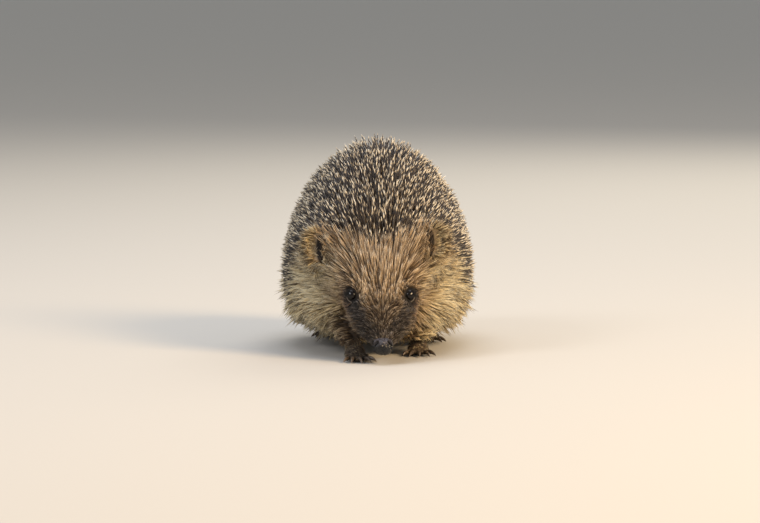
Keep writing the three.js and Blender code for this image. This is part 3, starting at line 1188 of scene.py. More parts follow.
@dataclass
class Quills:
    """The mantle of quills over the back: stiff, round and pointed, laid back and crossing one another."""

    plan: BodyPlan
    ground: Ground
    near: dict[str, Array]  # how much each vertex of the skin belongs to an ear, foot, leg or tail
    density: float = 2.1  # roots tried for each square millimetre
    gap: float = 1.3  # the least distance between two roots
    thickness: float = 0.78
    lift: float = 29.0  # degrees off the skin
    lifts: tuple[float, float] = (15.0, 50.0)
    depths: tuple[float, float] = (3.0, 12.0)  # the least and the greatest depth of the mantle
    lengths: tuple[float, float] = (9.0, 23.0)
    scatter: float = 0.2  # how much the quills sway to either side
    sink: float = 0.8  # how deep they stand in the skin
    per_piece: int = 5000
    seed: int = 11
    form: StrandForm = StrandForm(
        sides=5,
        stations=(0.0, 0.45, 0.88),
        widths=(0.65, 1.0, 0.74),
        flatness=1.0,
    )

    def build(self, material: bpy.types.Material) -> None:
        """Makes the mantle's pieces.

        Args:
            material: The material of all of its pieces.
        """
        rng = np.random.default_rng(self.seed)
        skin = self.ground.skin
        inside = rise(-3.0, 3.0, self.plan.quill_edge(skin.points + 8.0 * skin.normals))
        inside *= rise(0.85, 0.4, self.near["ear"])
        roots = self.ground.apart(self.ground.strew(rng, self.density * inside), self.gap)
        count = len(roots)
        spot, normal = skin.outline.nearest(roots.points)
        depth = np.clip(distance(spot, roots.points), *self.depths)
        lie = self.plan.lie(roots.points, normal)
        across = np.cross(normal, lie)
        lift = np.radians(np.clip(self.lift + rng.normal(0.0, 6.0, count), *self.lifts))
        sway = rng.normal(0.0, self.scatter, count)
        heading = unit(lie * np.cos(lift)[:, None] + normal * np.sin(lift)[:, None] + across * sway[:, None])
        length = (depth + rng.normal(-0.1, 0.8, count)) / np.sin(lift) + self.sink
        length = np.clip(length, *self.lengths)
        base = roots.points - self.sink * normal
        tip = base + heading * length[:, None]
        middle = base + heading * (0.5 * length)[:, None] + normal * (0.02 * length)[:, None]
        parts = {
            "base": base,
            "middle": middle,
            "tip": tip,
            "facing": normal,
            "radius": self.thickness / 2.0 * rng.uniform(0.8, 1.1, count),
            "uv": roots.uv,
            "tone": rng.random(count),
        }
        strand_pieces("quills", self.form, parts, material, "spines", self.per_piece)


# ---- The fur ----


@dataclass(frozen=True)
class FurKind:
    """How one kind of fur grows."""

    density: float  # locks per square millimetre
    hairs: int  # hairs in a lock
    length: float
    width: float
    spread: float  # how far a lock's roots lie apart, in millimetres
    gather: float  # how closely a lock's tips come together, from 0 to 1
    wander: float  # how much the locks' directions differ
    depth: float = 0.0  # the coat's depth where the fur lies outside the body's outline
    stray: float = 0.0  # the share of locks that stand out of the coat
    stand: float = 0.0  # how far they stand out
    over: float = 0.12  # the share of pale locks that lie over the others


FUR_KINDS = {
    Coat.FOREHEAD: FurKind(1.3, 4, 19.0, 0.42, 0.5, 0.4, 0.05, stray=0.1, stand=1.5),
    Coat.MUZZLE: FurKind(2.5, 3, 5.4, 0.3, 0.45, 0.2, 0.1, stray=0.35, stand=2.2),
    Coat.CHEEK: FurKind(1.4, 4, 14.5, 0.42, 0.55, 0.4, 0.07, stray=0.15, stand=2.5, over=0.3),
    Coat.SKIRT: FurKind(0.72, 4, 18.5, 0.46, 0.8, 0.45, 0.11, stray=0.3, stand=5.0, over=0.3),
    Coat.BELLY: FurKind(0.13, 6, 11.0, 0.6, 2.0, 0.5, 0.3),
    Coat.LEG: FurKind(0.46, 4, 9.0, 0.38, 1.0, 0.4, 0.2, depth=2.4),
    Coat.FOOT: FurKind(1.3, 3, 2.8, 0.26, 0.6, 0.3, 0.2, depth=0.5),
    Coat.EAR: FurKind(2.4, 3, 8.0, 0.34, 0.5, 0.25, 0.12, depth=2.0, over=0.3),
}


@dataclass
class Fur:
    """Hair over the face, skirt, belly and limbs, in locks that lie along the body."""

    plan: BodyPlan
    ground: Ground
    near: dict[str, Array]  # how much each vertex of the skin belongs to an ear, foot, leg or tail
    seed: int = 5
    sink: float = 0.45  # how deep the hair stands in the skin
    short: float = 4.0  # hair shorter than this has the short form
    per_piece: int = 12000
    ear_pale: float = 0.85
    long_form: StrandForm = StrandForm(
        sides=3,
        stations=(0.0, 0.36, 0.74),
        widths=(0.75, 1.0, 0.72),
        flatness=0.45,
    )
    short_form: StrandForm = StrandForm(
        sides=3,
        stations=(0.0, 0.55),
        widths=(0.85, 1.0),
        flatness=0.45,
    )

    def shares(self) -> dict[Coat, Array]:
        """How much each kind of fur grows at each vertex of the skin.

        Returns:
            For each kind of fur, one share for each vertex.
        """
        skin = self.ground.skin
        p = skin.points
        x, y, z = p.T
        # Over the brow the hair thins out towards the quills.
        edge = self.plan.quill_edge(p + 6.0 * skin.normals)
        brow = rise(-40.0, -55.0, y) * rise(31.0, 21.0, np.abs(x + 1.0))
        bare = rise(4.0, -2.0, edge) * (1.0 - brow) + rise(2.0, -13.0, edge) * brow
        leg = np.clip(self.near["leg"] + self.near["tail"], 0.0, 1.0)
        foot, ear = self.near["foot"], self.near["ear"]
        body = bare * (1.0 - np.clip(leg + foot + ear, 0.0, 1.0))
        from_nose = self.plan.from_nose(p)
        eye = self.plan.from_eyes(p)
        face = body * rise(-40.0, -48.0, y + 0.45 * (np.abs(x) - 20.0).clip(0.0))
        muzzle = face * np.maximum(rise(30.0, 22.0, from_nose), rise(8.0, 5.5, eye))
        muzzle = muzzle * rise(4.2, 5.6, from_nose)
        facing_down = rise(-0.3, -0.75, skin.normals[:, 2])
        upper = rise(36.0, 46.0, z - 0.5 * (np.abs(x - 2.0) - 11.0).clip(0.0))
        forehead = (face - muzzle) * upper
        cheek = (face - muzzle) * (1.0 - upper)
        rest = body - face
        belly = rest * rise(15.0, 11.0, z) * rise(-45.0, -30.0, y)
        lids = rise(1.12, 1.3, np.minimum.reduce([socket.oval(p) for socket in self.plan.sockets()]))
        return {
            Coat.FOREHEAD: forehead * lids,
            Coat.MUZZLE: muzzle * lids * (1.0 + 0.4 * rise(9.0, 5.0, eye)),
            Coat.CHEEK: cheek * lids * (1.0 - 0.5 * facing_down),
            Coat.SKIRT: (rest - belly) * (0.5 + 0.5 * rise(0.0, -30.0, y)) * (1.0 - 0.5 * facing_down),
            Coat.BELLY: belly,
            Coat.LEG: leg * bare * rise(4.0, 8.0, z),
            Coat.FOOT: foot * bare * rise(0.8, 2.5, z) * 0.8,
            Coat.EAR: ear * rise(0.9, 0.4, self.plan.ear_hollow(p)),
        }

    def locks(self, kind: FurKind, roots: Roots, rng: np.random.Generator, growth: Array) -> dict[str, Array]:
        """The hairs of some locks.

        Args:
            kind: How the fur grows.
            roots: The middle of each lock's root.
            rng: The source of chance.
            growth: Each lock's length, as a share of the kind's.

        Returns:
            The parts of one strand for each hair.
        """
        count, hairs = len(roots), kind.hairs
        normal = roots.normals
        outline = self.ground.skin.outline
        length = kind.length * growth * rng.uniform(0.78, 1.15, count)
        # Most locks lie low in the coat and a few pale ones lie over them. The low ones are darker, partly as
        # darker underfur and partly as painted shade deep in the coat.
        layer = np.searchsorted(np.array([0.7 - kind.over, 1.0 - kind.over]), rng.random(count))
        rank = np.array([0.0, 0.45, 0.86])[layer] + np.array([0.35, 0.3, 0.14])[layer] * rng.random(count)
        share = 0.35 + 0.72 * rank
        if kind.depth:
            depth = kind.depth * growth
        else:
            depth = distance(outline.nearest(roots.points)[0], roots.points)
        lie = self.plan.lie(roots.points, normal)
        lie = unit(lie + np.cross(normal, lie) * rng.normal(0.0, kind.wander, count)[:, None])
        across = np.cross(normal, lie)
        reach = roots.points + normal * (share * depth)[:, None] + lie * (0.93 * length)[:, None]
        if not kind.depth:
            end, end_normal = outline.nearest(reach)
            under = np.minimum((1.0 - share) * np.maximum(self.plan.coat_depth(end), 0.3), 0.4 * length)
            strays = rng.random(count) < kind.stray
            under -= np.where(strays, kind.stand * growth * rng.uniform(0.2, 1.0, count), 0.0)
            reach = self.plan.over_ears(end - end_normal * under[:, None], roots.points)
        seen = roots.points + lie * (0.45 * length)[:, None]
        bend = rng.normal(0.0, 0.035, count) * length
        bow = normal * np.minimum(0.75 * share * depth, 0.3 * length)[:, None] + across * bend[:, None]

        def each(values: Array) -> Array:
            """The locks' values, repeated for each of their hairs."""
            return np.repeat(values, hairs, axis=0)

        total = count * hairs
        aside = rng.normal(0.0, 0.5, (total, 2)) * kind.spread
        offset = each(across) * aside[:, :1] + each(lie) * aside[:, 1:]
        base = each(roots.points) + offset
        size = rng.uniform(0.74, 1.04, total)
        tip = each(reach) + offset * (1.0 - kind.gather)
        tip += rng.normal(0.0, 0.035, (total, 3)) * each(length)[:, None]
        tip = base + (tip - base) * size[:, None]
        middle = base + (each(lie) * (0.42 * each(length))[:, None] + each(bow)) * size[:, None]
        # The tone follows each lock's height in the coat, so low locks carry painted shade as well as their own
        # darker colour.
        tone = 0.08 + 0.72 * each(rank) + rng.normal(0.0, 0.14, total) + each(rng.normal(0.0, 0.14, count))
        return {
            "base": base - self.sink * each(normal),
            "middle": self.plan.clear_of_eyes(middle),
            "tip": self.plan.clear_of_eyes(tip),
            "facing": each(normal),
            "radius": kind.width / 2.0 * rng.uniform(0.7, 1.25, total),
            "uv": each(roots.uv),
            "tone": np.clip(tone, 0.0, 1.0),
            "mask": each(self.plan.dark_mask(seen + rng.normal(0.0, 0.6, (count, 3)))),
            "pale": each(self.plan.pale(seen)),
            "rust": each(self.plan.rust(seen)),
        }

    def growth(self, coat: Coat, points: Array) -> Array:
        """Each lock's length, as a share of its kind's.

        Args:
            coat: The kind of fur.
            points: The locks' roots.

        Returns:
            One share for each lock.
        """
        x, y, z = points.T
        from_nose = self.plan.from_nose(points)
        if coat is Coat.MUZZLE:
            eyes = 0.38 + 0.62 * rise(4.0, 9.0, self.plan.from_eyes(points))
            return (0.42 + 0.95 * rise(7.0, 26.0, from_nose)) * eyes
        if coat is Coat.FOREHEAD:
            eyes = 0.55 + 0.45 * rise(5.0, 11.0, self.plan.from_eyes(points))
            tufts = 1.0 + 0.35 * rise(17.0, 27.0, np.abs(x + 1.0)) * rise(50.0, 62.0, z)
            return (0.45 + 0.55 * rise(22.0, 58.0, from_nose)) * eyes * tufts
        if coat is Coat.CHEEK:
            return 0.42 + 0.7 * rise(28.0, 55.0, from_nose)
        if coat is Coat.SKIRT:
            return (0.85 + 0.3 * rise(50.0, 22.0, z)) * (1.0 - 0.25 * rise(20.0, 90.0, y))
        if coat is Coat.EAR:
            middle = np.minimum.reduce([distance(points, ear) for ear in self.plan.ears.values()])
            return 0.5 + 0.6 * rise(3.0, 9.0, middle)
        if coat is Coat.LEG:
            return (0.4 + 0.6 * rise(7.0, 16.0, z)) * (1.0 - 0.6 * rise(78.0, 84.0, y))
        return np.ones(len(points))

    def build(self, material: bpy.types.Material) -> None:
        """Makes the fur's pieces.

        Args:
            material: The material of all of its pieces.
        """
        rng = np.random.default_rng(self.seed)
        for coat, share in self.shares().items():
            kind = FUR_KINDS[coat]
            roots = self.ground.strew(rng, kind.density * share.clip(0.0))
            if len(roots) == 0:
                continue
            parts = self.locks(kind, roots, rng, self.growth(coat, roots.points))
            if coat is Coat.FOOT:
                parts["mask"] = 0.95 - 0.6 * parts["tone"]
            if coat is Coat.EAR:
                parts["pale"][:] = self.ear_pale
                parts["tone"] = 0.05 + 0.7 * parts["tone"]
            log.info("%s: %d locks", coat.value, len(roots))
            form = self.short_form if kind.length < self.short else self.long_form
            strand_pieces(f"fur_{coat.value}", form, parts, material, "fur", self.per_piece)


# ---- Eyes, nose and claws ----


@dataclass
class Eyeballs:
    """The two eyes: glossy, nearly black globes."""

    plan: BodyPlan
    front: float = 0.22  # how far the clear front stands out from the globe
    segments: int = 40
    rings: int = 28

    def build(self, material: bpy.types.Material) -> None:
        """Makes both eyes in their places.

        Args:
            material: The wet eye's material.
        """
        for socket in self.plan.sockets():
            word = socket.side.word
            deselect()
            bpy.ops.mesh.primitive_uv_sphere_add(
                segments=self.segments,
                ring_count=self.rings,
                radius=socket.radius * MM,
                location=tuple(socket.centre * MM),
            )
            eye = rename(bpy.context.active_object, f"eyeball_{word}")
            bpy.ops.object.transform_apply(location=True, rotation=True, scale=True)
            points = places(eye.data)
            out = unit(points - socket.centre)
            front = rise(0.72, 0.98, out @ socket.axes[0])
            put_places(eye.data, points + out * (self.front * front)[:, None])
            bpy.ops.object.shade_smooth()
            finish_piece(eye, material, "eye", f"eye_{word}")


@dataclass
class NosePad:
    """The bare, wet pad at the tip of the snout, with a groove down its middle and a nostril on each side."""

    # A nostril runs from its upper opening round the pad's side, in directions from the pad's middle.
    nostril: tuple[tuple[float, float, float], ...] = (
        (0.62, -0.62, 0.46),
        (0.86, -0.5, 0.08),
        (0.84, -0.46, -0.45),
    )
    nostril_depth: float = 0.42
    nostril_width: float = 0.29
    groove_depth: float = 0.08
    wing_height: float = 0.1
    foot_height: float = 0.12
    fineness: int = 6

    def build(self, material: bpy.types.Material) -> None:
        """Makes the nose pad in its place.

        Args:
            material: The material of all of its pieces.
        """
        low, high = node_box("nose")
        deselect()
        bpy.ops.mesh.primitive_cube_add(size=2.0 * MM)
        pad = rename(bpy.context.active_object, "nose_pad")
        levels = self.fineness
        apply_modifier(pad, "SUBSURF", levels=levels, render_levels=levels, subdivision_type="SIMPLE")
        ball = unit(places(pad.data))
        slit = self.slit(ball)
        put_places(pad.data, self.carve(ball, slit) * ((high - low) / 2.0) + (low + high) / 2.0)
        # The nostrils are marked to be painted near black as well: painted shade in their hollows.
        mark(pad.data, "deep", slit)
        # The lower part of the pad is marked to be painted near black: painted shade on its underside.
        mark(pad.data, "low", rise(0.65, -0.1, ball[:, 2]))
        choose(pad)
        bpy.ops.object.shade_smooth()
        finish_piece(pad, material, "nose_leather", "nose")

    def slit(self, ball: Array) -> Array:
        """How deep each point of the ball lies in a nostril, from 0 to 1.

        Args:
            ball: The ball's points.

        Returns:
            One share for each point.
        """
        deep = np.zeros(len(ball))
        for sign in (-1.0, 1.0):
            path = [unit(np.array(point) * [sign, 1.0, 1.0]) for point in self.nostril]
            for start, end, size in zip(path, path[1:], (1.0, 0.62)):
                line = end - start
                share = np.clip((ball - start) @ line / (line @ line), 0.0, 1.0)
                away = np.linalg.norm(ball - start - share[:, None] * line, axis=1)
                width = self.nostril_width * size * (1.0 - 0.38 * share)
                deep = np.maximum(deep, rise(1.0, 0.25, away / width) * size * (1.0 - 0.3 * share))
        return deep

    def carve(self, ball: Array, slit: Array) -> Array:
        """Cuts the nostrils and the groove into a ball of radius one.

        Args:
            ball: The ball's points.
            slit: How deep each point lies in a nostril.

        Returns:
            The points of the pad, still one unit in radius.
        """
        x, y, z = ball.T
        front = rise(0.0, -0.4, y)
        reach = 1.0 - self.nostril_depth * slit
        # The wings swell above and outside each nostril, and the pad's foot stands out below them.
        for sign in (-1.0, 1.0):
            wing = unit(np.array([sign * 0.88, -0.25, 0.55]))
            reach += self.wing_height * bell(distance(ball, wing), 0.0, 0.26)
        reach += self.wing_height * bell(np.abs(x), 0.55, 0.22) * bell(z, 0.62, 0.25)
        reach -= self.groove_depth * bell(x, 0.0, 0.08) * front * rise(0.5, 0.1, z)
        reach += self.foot_height * front * rise(-0.2, -0.9, z)
        reach += 0.035 * bell(x, 0.0, 0.5) * bell(z, 0.35, 0.3) * front
        return ball * reach[:, None]


@dataclass
class Claws:
    """Five claws on each foot, curved down to a blunt point."""

    nodes: dict[str, bpy.types.Object]
    radius: float = 0.95
    arch: float = 1.3  # how high each claw's back rises over the line from root to tip
    root_depth: float = 1.3  # how deep each claw's root stands in its toe
    form: StrandForm = StrandForm(
        sides=12,
        stations=(0.0, 0.2, 0.4, 0.6, 0.78, 0.92),
        widths=(1.0, 1.0, 0.9, 0.72, 0.48, 0.24),
        flatness=1.25,
    )

    def build(self, material: bpy.types.Material) -> None:
        """Makes each foot's claws as one piece.

        Args:
            material: The material of all of its pieces.
        """
        for foot in FEET:
            names = [f"claw_{foot}_{i}" for i in range(1, 6)]
            ends = [self.ends(places(self.nodes[name].data), self.nodes[f"foot_{foot}"]) for name in names]
            root = np.array([end[0] for end in ends])
            tip = np.array([end[1] for end in ends])
            heading = unit((tip - root) * np.array([1.0, 1.0, 0.0]))
            up = np.tile(np.array([0.0, 0.0, 1.0]), (len(names), 1))
            base = root - heading * self.root_depth + up * 0.25
            middle = root + (tip - root) * 0.55 + up * self.arch
            mesh = self.form.mesh(f"claws_{foot}", base, middle, tip, up, np.full(len(names), self.radius))
            place_piece(f"claws_{foot}", mesh, material, "claw_horn", *names)

    @staticmethod
    def ends(points: Array, foot: bpy.types.Object) -> tuple[Array, Array]:
        """The root and the tip of a claw, of which the tip is farther from its foot.

        Args:
            points: The claw's points.
            foot: The foot that the claw is on.

        Returns:
            The root and the tip, in millimetres.
        """
        middle = places(foot.data).mean(axis=0)
        away = np.linalg.norm((points - middle)[:, :2], axis=1)
        return points[away < away.min() + 0.8].mean(axis=0), points[away.argmax()]


# ---- Finishes ----


# The settings of a Mix node that lays one colour over another, and of one that darkens it by the other.
COLOURS = {"data_type": "RGBA", "blend_type": "MIX", "clamp_result": True}
SHADES = {"data_type": "RGBA", "blend_type": "MULTIPLY", "clamp_result": True, 0: 1.0}


@dataclass
class Nodes:
    """A material's nodes."""

    material: bpy.types.Material

    @staticmethod
    def named(name: str) -> "Nodes":
        """The nodes of a new material, with none in it yet.

        Args:
            name: The material's name.

        Returns:
            Its nodes.
        """
        material = bpy.data.materials.new(name)
        material.use_nodes = True
        material.node_tree.nodes.clear()
        return Nodes(material)

    def add(self, kind: str, settings: dict[object, object] | None = None, **links: object) -> bpy.types.Node:
        """Adds a node with its settings and links.

        Args:
            kind: Blender's name for the kind of node.
            settings: The node's properties by name, its inputs' values by socket name or number, and a colour
                ramp's stops. Colours are hex codes.
            links: Sockets that feed the inputs. An input's spaces are written as underscores, and one that
                goes by its number has an n before it.

        Returns:
            The node.
        """
        tree = self.material.node_tree
        node = tree.nodes.new(kind)
        for key, value in (settings or {}).items():
            if isinstance(value, str) and value.startswith("#"):
                value = linear(value)
            if key == "stops":
                band = node.color_ramp.elements
                while len(band) < len(value):
                    band.new(0.5)
                for element, (place, code) in zip(band, sorted(value.items())):
                    element.position = place
                    element.color = linear(code)
            elif isinstance(key, int) or key in node.inputs:
                node.inputs[key].default_value = value
            else:
                setattr(node, key, value)
        for key, socket in links.items():
            wanted = int(key[1:]) if key[0] == "n" and key[1:].isdigit() else key.replace("_", " ")
            tree.links.new(socket, node.inputs[wanted])
        return node

    def end(self, shader: bpy.types.Node) -> bpy.types.Material:
        """Puts a shader on the surface, and gives the finished material."""
        self.add("ShaderNodeOutputMaterial", Surface=shader.outputs[0])
        return self.material


@dataclass(frozen=True)
class QuillFinish:
    """Keratin quills: smooth and satiny, banded cream, dark brown and cream again to the tip."""

    roughness: float = 0.42
    ior: float = 1.54

    def material(self) -> bpy.types.Material:
        """Builds the material.

        Returns:
            The finished material.
        """
        nodes = Nodes.named("banded_keratin_quills")
        along = nodes.add("ShaderNodeAttribute", {"attribute_name": "along"}).outputs["Fac"]
        tone = nodes.add("ShaderNodeAttribute", {"attribute_name": "tone"}).outputs["Fac"]
        # The bands' places differ a little from quill to quill.
        shift = nodes.add("ShaderNodeMath", {"operation": "MULTIPLY_ADD", 1: 0.1, 2: -0.05}, n0=tone)
        place = nodes.add("ShaderNodeMath", {"operation": "ADD"}, n0=along, n1=shift.outputs[0])
        stops = {0.0: "#a08d70", 0.36: "#8f7c62", 0.48: "#463c38"}
        stops |= {0.84: "#3b3432", 0.89: "#d6cab1", 1.0: "#ece2cf"}
        bands = nodes.add("ShaderNodeValToRGB", {"stops": stops}, Fac=place.outputs[0])
        stops = {0.0: "#8d8274", 0.5: "#d4cabb", 1.0: "#ffffff"}
        shade = nodes.add("ShaderNodeValToRGB", {"stops": stops}, Fac=tone)
        colour = nodes.add("ShaderNodeMix", SHADES, n6=bands.outputs[0], n7=shade.outputs[0])
        gloss = {"Roughness": self.roughness, "IOR": self.ior, "Specular IOR Level": 0.45}
        return nodes.end(nodes.add("ShaderNodeBsdfPrincipled", gloss, Base_Color=colour.outputs[2]))


@dataclass(frozen=True)
class HairFinish:
    """Coarse guard hair: dark at the root, partly as painted shade near the skin, tan or cream towards the tip,
    dark in the face's mask.
    """

    roughness: float = 0.5
    ior: float = 1.54

    def material(self) -> bpy.types.Material:
        """Builds the material.

        Returns:
            The finished material.
        """
        nodes = Nodes.named("coarse_guard_hair")
        along = nodes.add("ShaderNodeAttribute", {"attribute_name": "along"}).outputs["Fac"]
        # Each hair darkens towards its root: partly its own colour, partly painted shade near the skin.
        stops = {0.0: "#4a3c2e", 0.35: "#917a5e", 0.7: "#c8ae8a", 1.0: "#f3e2c6"}
        colour = nodes.add("ShaderNodeValToRGB", {"stops": stops}, Fac=along).outputs[0]
        # Over the tan of the forehead lie the cream, the reddish and the mask's dark hair.
        kinds = {
            "pale": {0.0: "#83755a", 0.3: "#d0bd90", 0.65: "#f9e8bd", 1.0: "#fffae2"},
            "rust": {0.0: "#3a281c", 0.5: "#7e5c42", 1.0: "#b48f6c"},
            "mask": {0.0: "#0b0a0b", 0.45: "#1b1a1c", 0.8: "#4c494a", 1.0: "#a9a099"},
        }
        for name, stops in kinds.items():
            share = nodes.add("ShaderNodeAttribute", {"attribute_name": name}).outputs["Fac"]
            over = nodes.add("ShaderNodeValToRGB", {"stops": stops}, Fac=along).outputs[0]
            colour = nodes.add("ShaderNodeMix", COLOURS, n0=share, n6=colour, n7=over).outputs[2]
        # The tone darkens low locks, partly as painted shade deep in the coat, and varies at random from hair
        # to hair.
        tone = nodes.add("ShaderNodeAttribute", {"attribute_name": "tone"}).outputs["Fac"]
        stops = {0.0: "#3c342c", 0.4: "#8f8478", 0.75: "#f1ebe2", 1.0: "#ffffff"}
        shade = nodes.add("ShaderNodeValToRGB", {"stops": stops}, Fac=tone).outputs[0]
        colour = nodes.add("ShaderNodeMix", SHADES, n6=colour, n7=shade).outputs[2]
        gloss = {"Roughness": self.roughness, "IOR": self.ior, "Specular IOR Level": 0.35}
        return nodes.end(nodes.add("ShaderNodeBsdfPrincipled", gloss, Base_Color=colour))


@dataclass(frozen=True)
class SkinFinish:
    """Skin under short hair: brown-grey and creased, with the fine streaks of the hair that lies on it, painted
    shade in the ears' hollows and a painted glint on each lower lid.
    """

    streaks: float = 1.9  # to a millimetre: hair of 0.1 mm, drawn about 0.5 mm wide so that it shows
    blotches: float = 0.26  # to a millimetre, as each is about 4 mm wide
    crease: float = 0.2  # the height of the streaks, in millimetres
    roughness: float = 0.68
    ior: float = 1.45

    def material(self) -> bpy.types.Material:
        """Builds the material.

        Returns:
            The finished material.
        """
        nodes = Nodes.named("short_haired_skin")
        place = nodes.add("ShaderNodeTexCoord").outputs["Object"]
        fine = {"Scale": self.streaks / MM, "Detail": 4.0}
        streaks = nodes.add("ShaderNodeTexNoise", fine, Vector=place).outputs[0]
        coarse = {"Scale": self.blotches / MM, "Detail": 3.0}
        cloud = nodes.add("ShaderNodeTexNoise", coarse, Vector=place).outputs[0]
        fur = nodes.add("ShaderNodeValToRGB", {"stops": {0.3: "#2a2018", 0.6: "#5c4a37"}}, Fac=streaks)
        skin = nodes.add("ShaderNodeValToRGB", {"stops": {0.3: "#3a322b", 0.7: "#655647"}}, Fac=cloud)
        bare = nodes.add("ShaderNodeAttribute", {"attribute_name": "bare"}).outputs["Fac"]
        colour = nodes.add("ShaderNodeMix", COLOURS, n0=bare, n6=fur.outputs[0], n7=skin.outputs[0])
        colour = colour.outputs[2]
        # Over the skin go the ears' own colour, the face's dark mask, painted shade in the ears' hollows and a
        # painted glint on the wet lower lids.
        codes = {"ear": "#7d6d57", "mask": "#12100f", "hollow": "#1b1511", "rim": "#6c645c"}
        for name, code in codes.items():
            share = nodes.add("ShaderNodeAttribute", {"attribute_name": name}).outputs["Fac"]
            colour = nodes.add("ShaderNodeMix", COLOURS | {7: code}, n0=share, n6=colour).outputs[2]
        relief = {"Strength": 0.5, "Distance": self.crease * MM}
        bump = nodes.add("ShaderNodeBump", relief, Height=streaks).outputs[0]
        gloss = {"Roughness": self.roughness, "IOR": self.ior, "Specular IOR Level": 0.25}
        return nodes.end(nodes.add("ShaderNodeBsdfPrincipled", gloss, Base_Color=colour, Normal=bump))


@dataclass(frozen=True)
class EyeFinish:
    """A wet eye: almost black brown under a clear, mirror-smooth front."""

    clouds: float = 0.5  # to a millimetre, as the eye's colour drifts over about 2 mm
    roughness: float = 0.06
    ior: float = 1.36

    def material(self) -> bpy.types.Material:
        """Builds the material.

        Returns:
            The finished material.
        """
        nodes = Nodes.named("wet_dark_eye")
        place = nodes.add("ShaderNodeTexCoord").outputs["Object"]
        drift = {"Scale": self.clouds / MM, "Detail": 2.0}
        cloud = nodes.add("ShaderNodeTexNoise", drift, Vector=place).outputs[0]
        stops = {0.35: "#050404", 0.75: "#140d09"}
        colour = nodes.add("ShaderNodeValToRGB", {"stops": stops}, Fac=cloud).outputs[0]
        gloss = {"Roughness": self.roughness, "IOR": self.ior}
        return nodes.end(nodes.add("ShaderNodeBsdfPrincipled", gloss, Base_Color=colour))


@dataclass(frozen=True)
class NoseFinish:
    """Nose leather: dark purplish grey, pebbled in small bumps, and wet enough to shine, with painted shade
    near black on its underside and in its nostrils.
    """

    pebbles: float = 1.15  # to a millimetre: bumps of 0.3 mm, drawn about 0.9 mm wide so that they show
    clouds: float = 0.42  # to a millimetre, as the grey drifts over about 2.4 mm
    height: float = 0.4  # how high the bumps stand, in millimetres
    roughness: float = 0.13
    ior: float = 1.5

    def material(self) -> bpy.types.Material:
        """Builds the material.

        Returns:
            The finished material.
        """
        nodes = Nodes.named("wet_nose_leather")
        place = nodes.add("ShaderNodeTexCoord").outputs["Object"]
        cells = nodes.add("ShaderNodeTexVoronoi", {"Scale": self.pebbles / MM}, Vector=place)
        drift = {"Scale": self.clouds / MM, "Detail": 3.0}
        cloud = nodes.add("ShaderNodeTexNoise", drift, Vector=place).outputs[0]
        stops = {0.3: "#242125", 0.7: "#47434a"}
        colour = nodes.add("ShaderNodeValToRGB", {"stops": stops}, Fac=cloud).outputs[0]
        # The pad's lower part and its nostrils are painted near black: painted shade under the pad and in the
        # nostrils' hollows.
        for name, code in (("low", "#050404"), ("deep", "#060505")):
            share = nodes.add("ShaderNodeAttribute", {"attribute_name": name}).outputs["Fac"]
            colour = nodes.add("ShaderNodeMix", COLOURS | {7: code}, n0=share, n6=colour).outputs[2]
        relief = {"Strength": 1.0, "Distance": self.height * MM, "invert": True}
        bump = nodes.add("ShaderNodeBump", relief, Height=cells.outputs["Distance"]).outputs[0]
        gloss = {"Roughness": self.roughness, "IOR": self.ior, "Specular IOR Level": 0.5}
        return nodes.end(nodes.add("ShaderNodeBsdfPrincipled", gloss, Base_Color=colour, Normal=bump))


@dataclass(frozen=True)
class ClawFinish:
    """Claw horn: smooth brown-grey keratin, clouded light and dark."""

    clouds: float = 0.9  # to a millimetre, as each is about 1 mm wide
    roughness: float = 0.36
    ior: float = 1.54

    def material(self) -> bpy.types.Material:
        """Builds the material.

        Returns:
            The finished material.
        """
        nodes = Nodes.named("claw_horn")
        place = nodes.add("ShaderNodeTexCoord").outputs["Object"]
        drift = {"Scale": self.clouds / MM, "Detail": 3.0}
        cloud = nodes.add("ShaderNodeTexNoise", drift, Vector=place).outputs[0]
        stops = {0.3: "#2e2620", 0.7: "#6e5f50"}
        colour = nodes.add("ShaderNodeValToRGB", {"stops": stops}, Fac=cloud).outputs[0]
        gloss = {"Roughness": self.roughness, "IOR": self.ior}
        return nodes.end(nodes.add("ShaderNodeBsdfPrincipled", gloss, Base_Color=colour))


@dataclass(frozen=True)
class FloorFinish:
    """A matt, pale studio floor."""

    colour: str = "#c2bfb9"
    roughness: float = 0.9

    def material(self) -> bpy.types.Material:
        """Builds the material.

        Returns:
            The finished material.
        """
        nodes = Nodes.named("matt_studio_floor")
        settings = {"Base Color": self.colour, "Roughness": self.roughness}
        return nodes.end(nodes.add("ShaderNodeBsdfPrincipled", settings))


# ---- The studio ----


@dataclass(frozen=True)
class Lamp:
    """A square soft light that points at the animal."""

    name: str
    place: tuple[float, float, float]  # metres
    size: float
    watts: float
    colour: str

    def build(self, target: Vector) -> None:
        """Hangs the light.

        Args:
            target: The point that the light faces.
        """
        data = bpy.data.lights.new(self.name, "AREA")
        data.size = self.size
        data.energy = self.watts
        data.color = linear(self.colour)[:3]
        lamp = bpy.data.objects.new(self.name, data)
        lamp.location = self.place
        lamp.rotation_euler = (target - Vector(self.place)).to_track_quat("-Z", "Y").to_euler()
        bpy.context.scene.collection.objects.link(lamp)


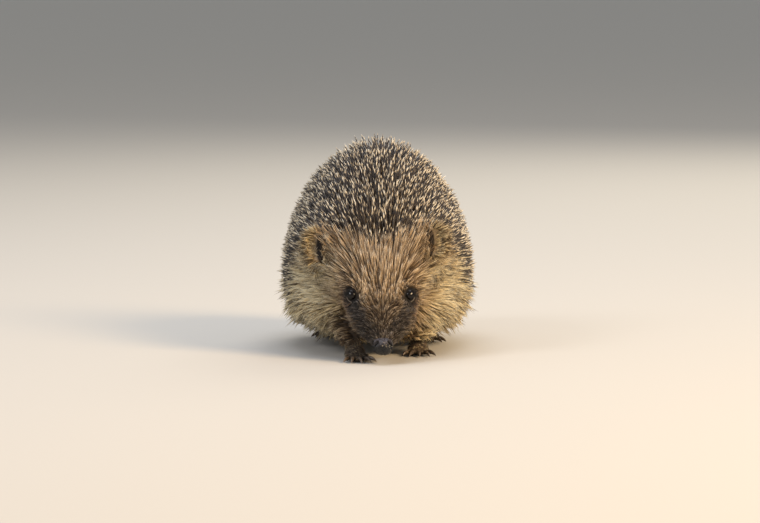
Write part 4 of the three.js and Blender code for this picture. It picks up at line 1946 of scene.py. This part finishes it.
@dataclass
class Studio:
    """The floor, the lights and the camera."""

    floor_size: float = 60.0
    aim: tuple[float, float, float] = (0.0, 0.0, 0.05)  # the point that the lights face
    air_colour: str = "#e8eaec"
    air_strength: float = 0.5
    sensor: float = 36.0
    elevation: float = 5.0
    distance: float = 2.5
    middle: tuple[float, float, float] = (0.0015, 0.0, 0.051)
    metres_per_pixel: float = 0.000601
    lamps: tuple[Lamp, ...] = (
        Lamp("soft_key", (1.4, -1.1, 1.05), 0.7, 46.0, "#ffdcaa"),
        Lamp("cool_fill", (-1.3, -1.1, 1.25), 0.7, 13.5, "#eaeaee"),
        Lamp("top_soft", (0.0, 0.2, 1.6), 1.2, 14.0, "#f4f6ff"),
        Lamp("rim_soft", (0.6, 1.6, 1.1), 0.9, 12.0, "#fff4e0"),
    )

    def build(self) -> None:
        """Lays the floor, hangs the lights and sets the camera."""
        deselect()
        bpy.ops.mesh.primitive_plane_add(size=self.floor_size)
        floor = rename(bpy.context.active_object, "studio_floor")
        floor.data.materials.append(FloorFinish().material())
        for lamp in self.lamps:
            lamp.build(Vector(self.aim))
        self.air()
        self.camera()

    def air(self) -> None:
        """Fills the room with plain pale light."""
        world = bpy.data.worlds.new("studio_air")
        world.use_nodes = True
        back = world.node_tree.nodes["Background"]
        back.inputs["Color"].default_value = linear(self.air_colour)
        back.inputs["Strength"].default_value = self.air_strength
        bpy.context.scene.world = world

    def camera(self) -> None:
        """Sets the camera in front of the face, close to the ground."""
        tilt = math.radians(self.elevation)
        data = bpy.data.cameras.new("camera")
        data.sensor_width = self.sensor
        data.lens = self.sensor * self.distance / (self.metres_per_pixel * IMAGE_WIDTH)
        data.clip_end = 100.0
        item = bpy.data.objects.new("camera", data)
        way = Vector((0.0, -math.cos(tilt), math.sin(tilt)))
        item.location = Vector(self.middle) + way * self.distance
        item.rotation_euler = (-way).to_track_quat("-Z", "Y").to_euler()
        bpy.context.scene.collection.objects.link(item)
        bpy.context.scene.camera = item


# ---- The whole ----


def main() -> None:
    """Builds the hedgehog and the studio round it."""
    logging.basicConfig(level=logging.INFO, format="%(message)s", stream=sys.stdout)
    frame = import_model()
    nodes = frame["nodes"]
    bpy.context.scene.view_settings.view_transform = "Standard"
    plan = BodyPlan.from_frame()
    skin = Skin(plan, nodes)
    skin.build()
    near = skin.nearness()
    skin.dress(near, SkinFinish().material())
    ground = Ground(skin)
    Quills(plan, ground, near).build(QuillFinish().material())
    Fur(plan, ground, near).build(HairFinish().material())
    Eyeballs(plan).build(EyeFinish().material())
    NosePad().build(NoseFinish().material())
    Claws(nodes).build(ClawFinish().material())
    Studio().build()


if __name__ == "__main__":
    main()
